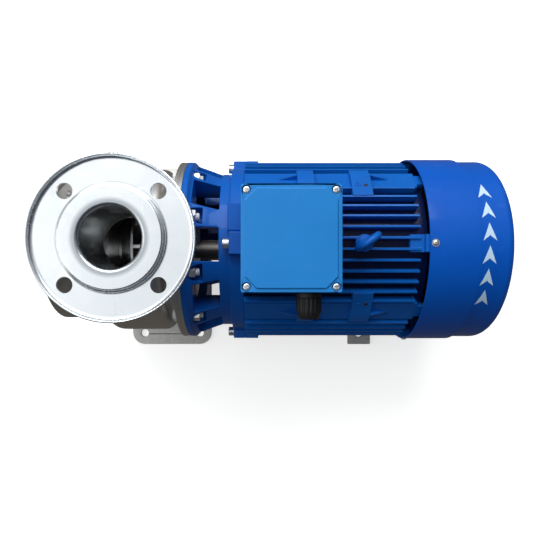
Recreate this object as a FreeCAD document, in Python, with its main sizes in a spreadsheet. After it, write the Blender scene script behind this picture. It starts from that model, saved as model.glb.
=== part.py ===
import FreeCAD, Part
import math
import os
import re

import Sketcher

# Close-coupled end-suction pump. X runs along the shaft from the suction flange face to the fan,
# Z is up, and the origin is the centre of the suction flange face. Lengths are millimetres.

doc = FreeCAD.newDocument("Pump")
sheet = doc.addObject("Spreadsheet::Sheet", "Sizes")

SIZES = {
    # Overall places
    "discharge_x": 125, "discharge_z": 200, "floor_depth": 160, "foot_reach": 160,
    # Clearances
    "weld_gap": 0.1, "press_gap": 0.02, "soft_gap": 0.3, "seal_film": 0.05, "screw_gap": 0.4,
    # Suction side
    "suction_bore": 40, "neck_wall": 3, "suction_rim": 100, "suction_plate": 12, "suction_face_rim": 69,
    "suction_face_rise": 2, "suction_pcd": 160, "flange_hole": 9, "neck_flare": 14,
    # Discharge flange, a pressed ring
    "discharge_bore": 33.5, "discharge_wall": 4, "discharge_rim": 92.5, "discharge_pcd": 145,
    "discharge_rise": 8, "discharge_plate": 4, "face_bore": 38.75, "face_flat": 55.5, "face_foot": 61,
    "lip_rise": 5, "lip_wall": 2.5, "lip_fillet": 5.5, "collar_drop": 12, "shoulder_round": 5,
    # Volute shell
    "shell_wall": 4, "volute_radius": 117, "front_wall": 72, "front_round": 18, "volute_end": 149,
    "rear_round": 12, "waist_run": 4, "waist_radius": 101, "flange_front": 176, "casing_plate": 5.4,
    "joint_rim": 127, "fairing_radius": 47.5, "fairing_base": 92, "fairing_top": 140,
    # Bolted joint of casing, cover and bracket
    "joint_pcd": 225, "bolt_radius": 5, "bolt_head": 9.2, "head_height": 6.4, "nut_height": 8,
    "washer_radius": 10, "washer_height": 2, "bolt_tail": 4,
    # Casing cover
    "cover_plate": 5, "front_cover_back": 186.4, "spigot_wall": 5.7, "dish_front": 158, "hub_radius": 31,
    "hub_end": 183, "seat_pocket": 26, "hub_bore": 14, "hub_web": 5, "ring_groove": 168,
    "ring_groove_width": 5,
    "ring_groove_depth": 3.5, "ring_section": 1.75,
    # Wear ring, impeller and its nut
    "wear_outer": 50, "wear_length": 14, "eye_radius": 42, "eye_bore": 38, "eye_front": 80,
    "impeller_radius": 84, "impeller_back": 134, "back_shroud": 3.5, "hub_front": 112, "hub_length": 30,
    "impeller_hub": 20, "outlet_front": 116, "shroud_wall": 3, "eye_length": 12, "blade_root": 34,
    "blade_arc": 66, "blade_sweep": 62, "blade_tip_turn": 3, "blade_root_turn": 7, "nut_length": 12,
    "nut_radius": 13, "thread_radius": 8, "key_width": 6, "key_start": 118, "key_length": 20,
    "key_floor": 9, "key_top": 14.8,
    # Shaft seal
    "seat_length": 10, "seat_bore": 13.5, "head_radius": 21, "head_length": 15, "spring_radius": 16,
    "spring_wire": 1.1, "spring_pitch": 3.4,
    # Shaft
    "shaft_radius": 12, "journal_radius": 20, "slinger_seat": 15, "core_seat": 24, "slinger_start": 226,
    "slinger_length": 10, "slinger_radius": 28, "slinger_step": 200, "shaft_end": 568, "fan_seat": 15,
    # Bracket with the front end shield
    "bracket_front_rim": 7.6, "bracket_slope_start": 198, "bracket_slope_radius": 122, "cone_end": 232,
    "cone_radius": 110, "shield_front": 248, "shield_radius": 118, "frame_front": 266, "bracket_bore": 88,
    "web_start": 240, "lip_bore": 30, "spigot_length": 6, "spigot_inner": 98, "boss_radius": 58,
    "web_back": 252, "window_start": 200, "window_end": 234, "window_width": 43, "flange_back": 196,
    "nut_notch": 11.5, "notch_depth": 18, "block_start": 246, "block_inner": 16.5, "block_outer": 51.5,
    "block_root": 98, "block_top": 118,
    # Front and rear ball bearings
    "front_bearing_start": 243, "front_bearing_width": 23, "front_bearing_outer": 45, "front_pitch": 32.5,
    "front_ball": 7.54, "front_shoulder": 5.8, "rear_bearing_start": 470, "rear_bearing_width": 18,
    "rear_bearing_outer": 40, "rear_pitch": 30, "rear_ball": 5.95, "rear_shoulder": 4.8, "ball_gap": 0.08,
    "cage_wall": 1.6, "cage_width": 5,
    # Motor frame
    "frame_back": 490, "frame_bore": 105, "frame_wall": 8, "fin_tip": 126.6, "fin_width": 3, "fin_pitch": 6.4,
    "fin_back": 485, "panel_radius": 122, "panel_half": 15.5, "pad_rise": 3, "pad_half": 12,
    "front_pad_start": 335, "front_pad_length": 22, "front_pad_y": 76, "front_pad_z": 102.3,
    "rear_pad_start": 404, "rear_pad_length": 26, "rear_pad_y": 62, "rear_pad_z": 112,
    "pad_ridge_y": 91, "pad_ridge_z": 92, "pad_skirt_y": 101, "pad_skirt_z": 78, "pad_heel_y": 92,
    "pad_heel_z": 72, "pad_root": 0.88,
    "lug_radius": 129.6, "lug_half": 14, "lug_length": 18, "lug_bolt_circle": 121, "lug_bolt": 4,
    "lug_bolt_head": 6.5, "lug_bolt_depth": 16, "tail_bolt_circle": 115, "tail_boss": 124,
    "platform_half": 50, "platform_top": 130, "platform_start": 274, "platform_end": 369, "cable_hole": 15,
    "eye_bolt_x": 415, "eye_boss": 11,
    "eye_boss_top": 129,
    # Stator and rotor
    "core_start": 300, "core_length": 140, "stator_bore": 65, "air_gap": 0.4, "slot_outer": 88,
    "slot_inner": 68, "slot_width": 7, "winding_outer": 96, "winding_front": 276, "winding_back": 468,
    "end_ring_length": 12, "end_ring_outer": 62, "end_ring_inner": 44, "bar_circle": 56, "bar_radius": 3,
    # Rear end shield
    "rear_shield_radius": 112, "rear_shield_back": 498, "rear_hub": 48, "rear_web_start": 488,
    "shaft_hole": 17, "wave_spring_room": 3, "wave_spring_inner": 33, "rear_lug_half": 11,
    # Fan and its cover
    "fan_start": 518, "fan_length": 38, "fan_hub": 26, "fan_radius": 104, "fan_blade_wall": 2.5,
    "fan_disc": 3, "clip_height": 2, "clip_radius": 20, "cover_start": 494.5, "cover_end": 603,
    "cover_wall": 2, "cover_radius": 130.7, "cover_tail_radius": 127.6, "cover_step": 560,
    "cover_round": 11, "cover_screw_x": 501, "cover_screw_head": 4.8, "cover_screw": 2.4,
    "cover_screw_length": 12, "cover_screw_rise": 2.6, "grille_hole": 4.5, "grille_first": 22,
    "grille_step": 13.5,
    # Terminal box
    "box_start": 267.6, "box_end": 375.6, "box_half": 58, "box_wall": 4, "box_top": 178,
    "gasket_height": 2, "lid_top": 190, "lid_overhang": 2, "lid_wall": 3.5, "panel_margin": 5,
    "panel_rise": 1.6, "panel_cut": 13, "lid_screw_dx": 99, "lid_screw_dy": 107, "lid_screw_head": 4.6,
    "lid_screw": 2.4, "lid_screw_sink": 3, "gland_x": 343.75, "gland_z": 155, "gland_thread": 12,
    "gland_hex": 15.6, "gland_collar": 8, "gland_nut_length": 17, "gland_bore": 8, "gland_nut_tip": 11,
    "locknut_height": 5, "board_start": 296, "board_length": 50, "board_half": 30, "board_height": 12,
    "stud_radius": 2.5, "stud_length": 14, "stud_dx": 20, "stud_dy": 20, "stud_nut": 4.6,
    "stud_nut_height": 4, "earth_x": 285, "earth_y": 38,
    # Lifting eye
    "lifting_ring": 14, "lifting_bar": 4.2, "lifting_collar": 10, "lifting_collar_height": 4,
    "lifting_shank": 5, "lifting_turn": 35,
    # Feet
    "foot_start": 55, "foot_length": 143, "foot_plate": 6, "foot_corner": 22, "foot_hole": 7,
    "foot_hole_dx": 100, "foot_hole_dy": 280, "upright_half": 75, "upright_top": 84, "gusset_start": 92,
    "gusset_drop": 16,
    "motor_foot_start": 446, "motor_foot_length": 40, "motor_foot_wall": 8, "foot_pad_half": 15,
    "foot_bolt": 4, "foot_bolt_head": 7, "foot_bolt_height": 5.5,
    "foot_bolt_depth": 14, "foot_bolt_first": 7.5, "foot_bolt_step": 15, "foot_web": 45,
    # Plugs
    "plug_circle": 82, "plug_turn": 40, "plug_radius": 8, "plug_head": 10, "plug_length": 8,
}

for row, (name, value) in enumerate(SIZES.items(), start=1):
    sheet.set(f"A{row}", name)
    sheet.set(f"B{row}", str(value))
    sheet.setAlias(f"B{row}", name)
doc.recompute()

nodes = []


def bound(text):
    """Write each size's name as a reference to its cell."""
    def cell(match):
        word = match.group()
        return f"Sizes.{word}" if word in SIZES else word
    return re.sub(r"[a-z][a-z0-9_]*", cell, str(text))


def number(text):
    """The present value of an expression."""
    result = sheet.evalExpression(bound(text))
    return float(getattr(result, "Value", result))


def new_body(label):
    """Start a separate piece."""
    body = doc.addObject("PartDesign::Body", label)
    body.Label = label
    nodes.append(body)
    return body


def sketch_on(body, role, start="0", across="0", turn=0):
    """A sketch parallel to one of the piece's own planes, at a distance along its normal.

    A turn, in degrees about the shaft line, tips a horizontal sketch towards -Y first."""
    plane = next(item for item in body.Origin.OriginFeatures if item.Role == role)
    sketch = body.newObject("Sketcher::SketchObject", f"{body.Name}_sketch")
    sketch.AttachmentSupport = [(plane, "")]
    sketch.MapMode = "FlatFace"
    if turn:
        tipped = FreeCAD.Rotation(FreeCAD.Vector(1, 0, 0), turn)
        sketch.AttachmentOffset = FreeCAD.Placement(FreeCAD.Vector(), tipped)
        sketch.setExpression("AttachmentOffset.Base.y", bound(f"-({start}) * sin({turn})"))
        sketch.setExpression("AttachmentOffset.Base.z", bound(f"({start}) * cos({turn})"))
    else:
        sketch.setExpression("AttachmentOffset.Base.z", bound(start))
    sketch.setExpression("AttachmentOffset.Base.x", bound(across))
    return sketch


def pinned(edge, end, where):
    """The two constraints that hold one end of an edge at the named place, with their expressions."""
    return [(Sketcher.Constraint(kind, -1, 1, edge, end, number(text)), text)
            for kind, text in zip(("DistanceX", "DistanceY"), where)]


def circle_in(sketch, centre, radius):
    """Add a circle and return its constraints."""
    place = FreeCAD.Vector(number(centre[0]), number(centre[1]), 0)
    edge = sketch.addGeometry(Part.Circle(place, FreeCAD.Vector(0, 0, 1), number(radius)), False)
    return pinned(edge, 3, centre) + [(Sketcher.Constraint("Radius", edge, number(radius)), radius)]


def arc_edge(first, last, radius, side):
    """The short arc between two points; side 1 bulges to the left of the way there, -1 to the right."""
    way = last - first
    half = way.Length / 2
    left = FreeCAD.Vector(-way.y, way.x, 0).normalize()
    centre = (first + last) * 0.5 - left * (side * math.sqrt(max(radius * radius - half * half, 0)))
    circle = Part.Circle(centre, FreeCAD.Vector(0, 0, 1), radius)
    begin, finish = (first, last) if side == -1 else (last, first)
    low = math.atan2(begin.y - centre.y, begin.x - centre.x)
    high = math.atan2(finish.y - centre.y, finish.x - centre.x)
    if high < low:
        high += 2 * math.pi
    return Part.ArcOfCircle(circle, low, high)


def outline_in(sketch, corners):
    """Add a closed outline and return its constraints.

    A corner is (x, y), or (x, y, radius, side) where an arc leaves it."""
    places = [FreeCAD.Vector(number(corner[0]), number(corner[1]), 0) for corner in corners]
    edges = []
    for step, corner in enumerate(corners):
        here = places[step]
        there = places[(step + 1) % len(corners)]
        if len(corner) == 2:
            edge = sketch.addGeometry(Part.LineSegment(here, there), False)
        else:
            edge = sketch.addGeometry(arc_edge(here, there, number(corner[2]), corner[3]), False)
        leaves, arrives = (2, 1) if len(corner) == 4 and corner[3] == 1 else (1, 2)
        edges.append((edge, leaves, arrives))
    held = []
    for step, corner in enumerate(corners):
        edge, leaves, arrives = edges[step]
        next_edge, next_leaves, _ = edges[(step + 1) % len(corners)]
        held.append((Sketcher.Constraint("Coincident", edge, arrives, next_edge, next_leaves), None))
        held.extend(pinned(edge, leaves, corner[:2]))
        if len(corner) == 4:
            held.append((Sketcher.Constraint("Radius", edge, number(corner[2])), corner[2]))
    return held


def draw(sketch, shapes):
    """Draw circles, as (centre, radius), and outlines, as lists of corners."""
    held = []
    for shape in shapes:
        held.extend(circle_in(sketch, *shape) if isinstance(shape, tuple) else outline_in(sketch, shape))
    sketch.addConstraint([constraint for constraint, _ in held])
    for index, (_, text) in enumerate(held):
        if text is not None:
            sketch.setExpression(f"Constraints[{index}]", bound(text))


def add_pad(body, role, start, shapes, length, turn=0):
    """Raise shapes from a plane, along its normal."""
    sketch = sketch_on(body, role, start, turn=turn)
    draw(sketch, shapes)
    doc.recompute()
    pad = body.newObject("PartDesign::Pad", f"{body.Name}_pad")
    pad.Profile = sketch
    pad.setExpression("Length", bound(length))
    doc.recompute()
    return pad


def add_pocket(body, role, start, shapes, length, turn=0):
    """Cut shapes out, along the plane's normal, and check that something was cut."""
    before = body.Shape.Volume
    sketch = sketch_on(body, role, start, turn=turn)
    draw(sketch, shapes)
    doc.recompute()
    pocket = body.newObject("PartDesign::Pocket", f"{body.Name}_pocket")
    pocket.Profile = sketch
    pocket.Reversed = True
    pocket.setExpression("Length", bound(length))
    doc.recompute()
    if pocket.Shape.Volume >= before:
        raise RuntimeError(f"a pocket of {body.Label} cuts nothing")
    return pocket


def add_turned(body, corners, role="XZ_Plane", axis="H_Axis", start="0", across="0", kind="Revolution"):
    """Turn an outline about an axis of its sketch: the shaft line, or a vertical."""
    before = body.Shape.Volume if body.Tip else 0
    sketch = sketch_on(body, role, start, across)
    draw(sketch, [corners])
    doc.recompute()
    turned = body.newObject(f"PartDesign::{kind}", f"{body.Name}_turned")
    turned.Profile = sketch
    turned.ReferenceAxis = (sketch, [axis])
    turned.Angle = 360
    doc.recompute()
    if kind == "Groove" and turned.Shape.Volume >= before:
        raise RuntimeError(f"a groove of {body.Label} cuts nothing")
    return turned


def repeat_round(body, features, count, role="X_Axis", angle=360):
    """Repeat features about one of the piece's own axes."""
    axis = next(item for item in body.Origin.OriginFeatures if item.Role == role)
    pattern = body.newObject("PartDesign::PolarPattern", f"{body.Name}_pattern")
    pattern.Originals = features
    pattern.Axis = (axis, [""])
    pattern.Angle = angle
    pattern.Occurrences = count
    body.Tip = pattern
    doc.recompute()
    return pattern


def turned_piece(label, corners, **place):
    """A piece that is one turned outline."""
    body = new_body(label)
    add_turned(body, corners, **place)
    return body


def place_piece(body, x="0", y="0", z="0"):
    """Put a piece that was drawn about its own axis where it belongs."""
    for letter, text in zip("xyz", (x, y, z)):
        body.setExpression(f"Placement.Base.{letter}", bound(text))
    doc.recompute()


def rectangle(x_low, x_high, y_low, y_high):
    """Corners of an upright rectangle."""
    return [(x_low, y_low), (x_high, y_low), (x_high, y_high), (x_low, y_high)]


def cut_rectangle(x_low, x_high, y_low, y_high, cut):
    """Corners of a rectangle whose four corners are cut off."""
    return [
        (f"{x_low} + {cut}", y_low), (f"{x_high} - {cut}", y_low), (x_high, f"{y_low} + {cut}"),
        (x_high, f"{y_high} - {cut}"), (f"{x_high} - {cut}", y_high), (f"{x_low} + {cut}", y_high),
        (x_low, f"{y_high} - {cut}"), (x_low, f"{y_low} + {cut}")]


def rounded_rectangle(x_low, x_high, y_low, y_high, corner):
    """Corners of a rectangle with rounded corners."""
    return [
        (f"{x_low} + {corner}", y_low), (f"{x_high} - {corner}", y_low, corner, -1),
        (x_high, f"{y_low} + {corner}"), (x_high, f"{y_high} - {corner}", corner, -1),
        (f"{x_high} - {corner}", y_high), (f"{x_low} + {corner}", y_high, corner, -1),
        (x_low, f"{y_high} - {corner}"), (x_low, f"{y_low} + {corner}", corner, -1)]


def radial_block(inner, outer, half, angle):
    """A rectangle that stands on a radius of the shaft line, angle degrees from the top towards +Y."""
    def corner(radius, aside):
        across = f"({radius}) * sin({angle}) + ({aside}) * cos({angle})"
        along = f"({radius}) * cos({angle}) - ({aside}) * sin({angle})"
        return (across, along)
    return [corner(inner, f"-({half})"), corner(inner, half), corner(outer, half), corner(outer, f"-({half})")]


def round_points(count, circle, first):
    """Centres spaced evenly on a circle, the first at an angle from the top towards +Y."""
    turns = [first + step * 360 / count for step in range(count)]
    return [(f"({circle}) * sin({turn})", f"({circle}) * cos({turn})") for turn in turns]


def hexagon(centre, radius, first=0):
    """Corners of a hexagon about a centre."""
    x, y = centre
    turns = [first + step * 60 for step in range(6)]
    return [(f"({x}) + ({radius}) * sin({turn})", f"({y}) + ({radius}) * cos({turn})") for turn in turns]


def grid_points(x_mid, y_mid, dx, dy):
    """Four centres on a rectangle."""
    return [(f"({x_mid}) + {i} * ({dx}) / 2", f"({y_mid}) + {j} * ({dy}) / 2")
            for i in (-1, 1) for j in (-1, 1)]


# Ten bolts close the casing, and the two lowest of them also hold the foot.
JOINT_BOLTS = 10
JOINT_POINTS = round_points(JOINT_BOLTS, "joint_pcd / 2", 180 / JOINT_BOLTS)
LOW_POINTS = JOINT_POINTS[JOINT_BOLTS // 2 - 1:JOINT_BOLTS // 2 + 1]
LUG_POINTS = round_points(4, "lug_bolt_circle", 0)
WAIST_START = "volute_end + rear_round + waist_run"


def suction_flange():
    """Thick ring welded round the suction neck, with a raised sealing face and eight holes."""
    bore = "suction_bore + neck_wall + weld_gap"
    body = turned_piece("suction_flange", [
        ("0", bore), ("0", "suction_face_rim"), ("suction_face_rise", "suction_face_rim"),
        ("suction_face_rise", "suction_rim"), ("suction_plate + suction_face_rise", "suction_rim"),
        ("suction_plate + suction_face_rise", bore)])
    holes = [(point, "flange_hole") for point in round_points(8, "suction_pcd / 2", 22.5)]
    add_pocket(body, "YZ_Plane", "0", holes, "suction_plate + suction_face_rise")


def discharge_flange():
    """Pressed ring: rolled bore, raised sealing face, flat with four holes and a turned-up rim."""
    flat = "discharge_z - discharge_rise"
    under = f"{flat} - discharge_plate"
    collar = "discharge_bore + discharge_wall"
    shoulder = "(face_foot + face_flat) / 2"
    body = turned_piece("discharge_flange", [
        ("discharge_bore", "discharge_z - collar_drop"),
        (collar, "discharge_z - collar_drop"),
        (collar, "discharge_z - discharge_plate - 2"),
        ("face_bore + 1", "discharge_z - discharge_plate"),
        ("face_flat - 2", "discharge_z - discharge_plate"),
        ("face_foot - 2.5", under),
        ("discharge_rim - 4", under, "4", -1),
        ("discharge_rim", f"{under} + 4"),
        ("discharge_rim", f"{flat} + lip_rise - lip_wall / 2", "lip_wall / 2", -1),
        ("discharge_rim - lip_wall / 2", f"{flat} + lip_rise", "lip_wall / 2", -1),
        ("discharge_rim - lip_wall", f"{flat} + lip_rise - lip_wall / 2"),
        ("discharge_rim - lip_wall", f"{flat} + lip_fillet / 2", "lip_fillet", 1),
        ("discharge_rim - lip_wall - lip_fillet / 2 - 2", flat),
        ("face_foot", flat, "shoulder_round", 1),
        (shoulder, f"{flat} + discharge_rise / 2", "shoulder_round", -1),
        ("face_flat", "discharge_z"),
        ("face_bore", "discharge_z", "face_bore - discharge_bore", -1),
        ("discharge_bore", "discharge_z - (face_bore - discharge_bore)"),
    ], axis="V_Axis")
    holes = [(point, "flange_hole") for point in round_points(4, "discharge_pcd / 2", 45)]
    add_pocket(body, "XY_Plane", under, holes, "2 * discharge_plate")
    place_piece(body, x="discharge_x")


def volute_outline(grow):
    """Outside of the volute from its front wall to the bolted rim, grown by a gap."""
    return [
        (f"front_wall - {grow}", "volute_radius - front_round", f"front_round + {grow}", 1),
        ("front_wall + front_round", f"volute_radius + {grow}"),
        ("volute_end", f"volute_radius + {grow}", f"rear_round + {grow}", 1),
        (f"volute_end + rear_round + {grow}", "volute_radius - rear_round"),
        (WAIST_START, f"waist_radius + {grow}"),
        ("flange_front", f"waist_radius + {grow}"),
    ]


def pump_casing():
    """Pressed volute shell with its bolted rim, open to the two necks welded on it."""
    inner = "volute_radius - shell_wall"
    inner_round = "front_round - shell_wall"
    back_inner = "volute_end + rear_round - shell_wall"
    waist = "waist_radius - shell_wall"
    back = "flange_front + casing_plate"
    body = turned_piece("pump_casing", [
        ("front_wall", "suction_bore"),
        *volute_outline("0"),
        ("flange_front", "joint_rim"),
        (back, "joint_rim"),
        (back, waist),
        (f"{WAIST_START} - shell_wall", waist),
        (back_inner, "volute_radius - rear_round", "rear_round - shell_wall", -1),
        (f"{back_inner} - (rear_round - shell_wall)", inner),
        (f"front_wall + shell_wall + {inner_round}", inner, inner_round, -1),
        ("front_wall + shell_wall", f"{inner} - ({inner_round})"),
        ("front_wall + shell_wall", "suction_bore"),
    ])
    outlet = [(("discharge_x", "0"), "discharge_bore")]
    add_pocket(body, "XY_Plane", "volute_radius / 2", outlet, "volute_radius")
    holes = [(point, "bolt_radius + screw_gap") for point in JOINT_POINTS]
    add_pocket(body, "YZ_Plane", "flange_front", holes, "casing_plate")
    threads = [(plug_point(way), "plug_radius + press_gap") for way in (1, -1)]
    add_pocket(body, "YZ_Plane", "front_wall", threads, "shell_wall")


def suction_neck():
    """Drawn pipe welded to the volute's front wall, flared at its root."""
    turned_piece("suction_neck", [
        ("0", "suction_bore"),
        ("0", "suction_bore + neck_wall"),
        ("front_wall - neck_flare", "suction_bore + neck_wall", "neck_flare", -1),
        ("front_wall", "suction_bore + neck_wall + neck_flare"),
        ("front_wall", "suction_bore"),
    ])


def discharge_neck():
    """Pipe with a conical root, cut to the volute that it is welded on."""
    neck = "discharge_bore + discharge_wall"
    top = "discharge_z - collar_drop"
    body = new_body("discharge_neck")
    add_turned(body, [
        ("discharge_bore", "fairing_base"),
        ("fairing_radius", "fairing_base"),
        (neck, "fairing_top"),
        (neck, top),
        ("discharge_bore", top),
    ], axis="V_Axis", across="discharge_x")
    add_turned(body, [("front_wall - weld_gap", "0"), *volute_outline("weld_gap"), ("flange_front", "0")],
               kind="Groove")


def plug_point(way):
    """Centre of the priming plug, way -1, or of the drain plug, way 1, in the front wall."""
    return (f"{way} * plug_circle * sin(plug_turn)", f"{-way} * plug_circle * cos(plug_turn)")


def plugs():
    """Hexagon plugs in the volute's front wall: priming above, drain below."""
    for label, way in (("priming_plug", -1), ("drain_plug", 1)):
        centre = plug_point(way)
        body = new_body(label)
        add_pad(body, "YZ_Plane", "front_wall - plug_length", [hexagon(centre, "plug_head")], "plug_length")
        add_pad(body, "YZ_Plane", "front_wall", [(centre, "plug_radius")], "shell_wall + 1")


def casing_cover():
    """Pressed and turned cover: clamped rim, spigot with a ring groove, dished wall and seal housing."""
    front = "flange_front + casing_plate"
    back = "front_cover_back"
    spigot = "waist_radius - shell_wall - soft_gap"
    body = turned_piece("casing_cover", [
        ("dish_front", "seat_pocket"),
        ("dish_front", spigot),
        (front, spigot),
        (front, "joint_rim"),
        (back, "joint_rim"),
        (back, f"{spigot} - spigot_wall"),
        ("dish_front + cover_plate", f"{spigot} - spigot_wall"),
        ("dish_front + cover_plate", "hub_radius"),
        ("hub_end", "hub_radius"),
        ("hub_end", "hub_bore"),
        ("hub_end - hub_web", "hub_bore"),
        ("hub_end - hub_web", "seat_pocket"),
    ])
    add_turned(body, rectangle("ring_groove", "ring_groove + ring_groove_width",
                               f"{spigot} - ring_groove_depth", f"{spigot} + 1"), kind="Groove")
    holes = [(point, "bolt_radius + screw_gap") for point in JOINT_POINTS]
    add_pocket(body, "YZ_Plane", front, holes, "cover_plate")


def casing_o_ring():
    """Rubber ring in the cover's groove."""
    body = new_body("casing_o_ring")
    sketch = sketch_on(body, "XZ_Plane")
    centre = ("ring_groove + ring_groove_width / 2",
              "waist_radius - shell_wall - soft_gap - ring_groove_depth + ring_section + weld_gap")
    draw(sketch, [(centre, "ring_section")])
    doc.recompute()
    ring = body.newObject("PartDesign::Revolution", "casing_o_ring_turned")
    ring.Profile = sketch
    ring.ReferenceAxis = (sketch, ["H_Axis"])
    ring.Angle = 360
    doc.recompute()


def joint_fasteners():
    """Ten bolts through casing, cover and bracket, with a washer and a nut each."""
    bolts = new_body("casing_bolts")
    end = "flange_back + washer_height + nut_height + bolt_tail"
    high = [point for point in JOINT_POINTS if point not in LOW_POINTS]
    for points, seat in ((high, "flange_front"), (LOW_POINTS, "flange_front - foot_plate")):
        heads = [hexagon(point, "bolt_head") for point in points]
        shanks = [(point, "bolt_radius") for point in points]
        add_pad(bolts, "YZ_Plane", f"{seat} - head_height", heads, "head_height")
        add_pad(bolts, "YZ_Plane", seat, shanks, f"{end} - ({seat})")
    washers = new_body("casing_washers")
    add_pad(washers, "YZ_Plane", "flange_back", [(point, "washer_radius") for point in JOINT_POINTS],
            "washer_height")
    bores = [(point, "bolt_radius + screw_gap / 2") for point in JOINT_POINTS]
    add_pocket(washers, "YZ_Plane", "flange_back", bores, "washer_height")
    nuts = new_body("casing_nuts")
    seat = "flange_back + washer_height"
    add_pad(nuts, "YZ_Plane", seat, [hexagon(point, "bolt_head") for point in JOINT_POINTS], "nut_height")
    threads = [(point, "bolt_radius + press_gap") for point in JOINT_POINTS]
    add_pocket(nuts, "YZ_Plane", seat, threads, "nut_height")


def wear_ring():
    """Ring on the inside of the front wall that the impeller's eye runs in."""
    start = "front_wall + shell_wall"
    turned_piece("wear_ring", rectangle(start, f"{start} + wear_length", "eye_radius + soft_gap", "wear_outer"))


VANES = 6


def polar_point(radius, turn):
    """Point across the shaft at a radius and a turn from the top."""
    return (f"{radius} * sin({turn})", f"{radius} * cos({turn})")


def impeller():
    """Closed impeller: hub and back plate, six back-swept vanes, and a front plate with the eye."""
    outlet = "impeller_back"
    eye_back = "eye_front + eye_length"
    body = new_body("impeller")
    add_turned(body, [
        ("hub_front", "shaft_radius + press_gap"),
        ("hub_front", "impeller_hub - 4"),
        (f"{outlet} - 8", "impeller_hub"),
        (outlet, "impeller_hub + 8"),
        (outlet, "impeller_radius"),
        (f"{outlet} + back_shroud", "impeller_radius"),
        (f"{outlet} + back_shroud", "impeller_hub"),
        ("hub_front + hub_length", "impeller_hub"),
        ("hub_front + hub_length", "shaft_radius + press_gap"),
    ])
    vanes = []
    for step in range(VANES):
        turn = step * 360 / VANES
        root = polar_point("blade_root", f"{turn}")
        tip = polar_point("(impeller_radius - 1)", f"{turn} - blade_sweep")
        tip_out = polar_point("(impeller_radius - 1)", f"{turn} - blade_sweep + blade_tip_turn")
        root_out = polar_point("blade_root", f"{turn} + blade_root_turn")
        vanes.append([(*root, "blade_arc", -1), tip, (*tip_out, "blade_arc", 1), root_out])
    add_pad(body, "YZ_Plane", f"{eye_back} + 4", vanes, f"{outlet} - ({eye_back} + 4)")
    outside = "impeller_radius + 1"
    add_turned(body, [
        ("eye_front", "eye_bore"),
        ("eye_front", "eye_radius"),
        (eye_back, "eye_radius"),
        ("outlet_front", "impeller_radius"),
        ("outlet_front + shroud_wall", "impeller_radius"),
        (f"{eye_back} + shroud_wall", "eye_bore"),
    ])
    add_turned(body, [
        (eye_back, "eye_radius"),
        ("outlet_front", "impeller_radius"),
        ("outlet_front", outside),
        ("eye_front - 1", outside),
        ("eye_front - 1", "eye_radius"),
    ], kind="Groove")
    slot = rectangle("hub_front", "hub_front + hub_length", "-key_width / 2 - weld_gap",
                     "key_width / 2 + weld_gap")
    add_pocket(body, "XY_Plane", "key_floor", [slot], "key_top + weld_gap - key_floor")


def impeller_fixings():
    """Key and nut that hold the impeller on the shaft."""
    key = new_body("impeller_key")
    outline = rectangle("key_start", "key_start + key_length", "-key_width / 2", "key_width / 2")
    add_pad(key, "XY_Plane", "key_floor", [outline], "key_top - key_floor")
    nut = new_body("impeller_nut")
    add_pad(nut, "YZ_Plane", "hub_front - nut_length", [hexagon(("0", "0"), "nut_radius")], "nut_length")
    add_pocket(nut, "YZ_Plane", "hub_front - nut_length + 2", [(("0", "0"), "thread_radius + press_gap")],
               "nut_length - 2")


def shaft():
    """One stainless and steel shaft for pump and motor, stepped for each piece that it carries."""
    outline = [
        ("hub_front - nut_length + 3", "0"),
        ("hub_front - nut_length + 3", "thread_radius"),
        ("hub_front", "thread_radius"),
        ("hub_front", "shaft_radius"),
        ("slinger_step", "shaft_radius"),
        ("slinger_step", "slinger_seat"),
        ("front_bearing_start - 5", "slinger_seat"),
        ("front_bearing_start - 5", "journal_radius"),
        ("front_bearing_start + front_bearing_width", "journal_radius"),
        ("front_bearing_start + front_bearing_width", "core_seat"),
        ("rear_bearing_start - wave_spring_room", "core_seat"),
        ("rear_bearing_start - wave_spring_room", "journal_radius + 5"),
        ("rear_bearing_start", "journal_radius + 5"),
        ("rear_bearing_start", "journal_radius"),
        ("rear_bearing_start + rear_bearing_width + 1", "journal_radius"),
        ("rear_bearing_start + rear_bearing_width + 1", "fan_seat"),
        ("shaft_end", "fan_seat"),
        ("shaft_end", "0"),
    ]
    body = turned_piece("shaft", outline)
    slot = rectangle("key_start", "key_start + key_length", "-key_width / 2", "key_width / 2")
    add_pocket(body, "XY_Plane", "key_floor", [slot], "shaft_radius - key_floor + 1")


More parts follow.
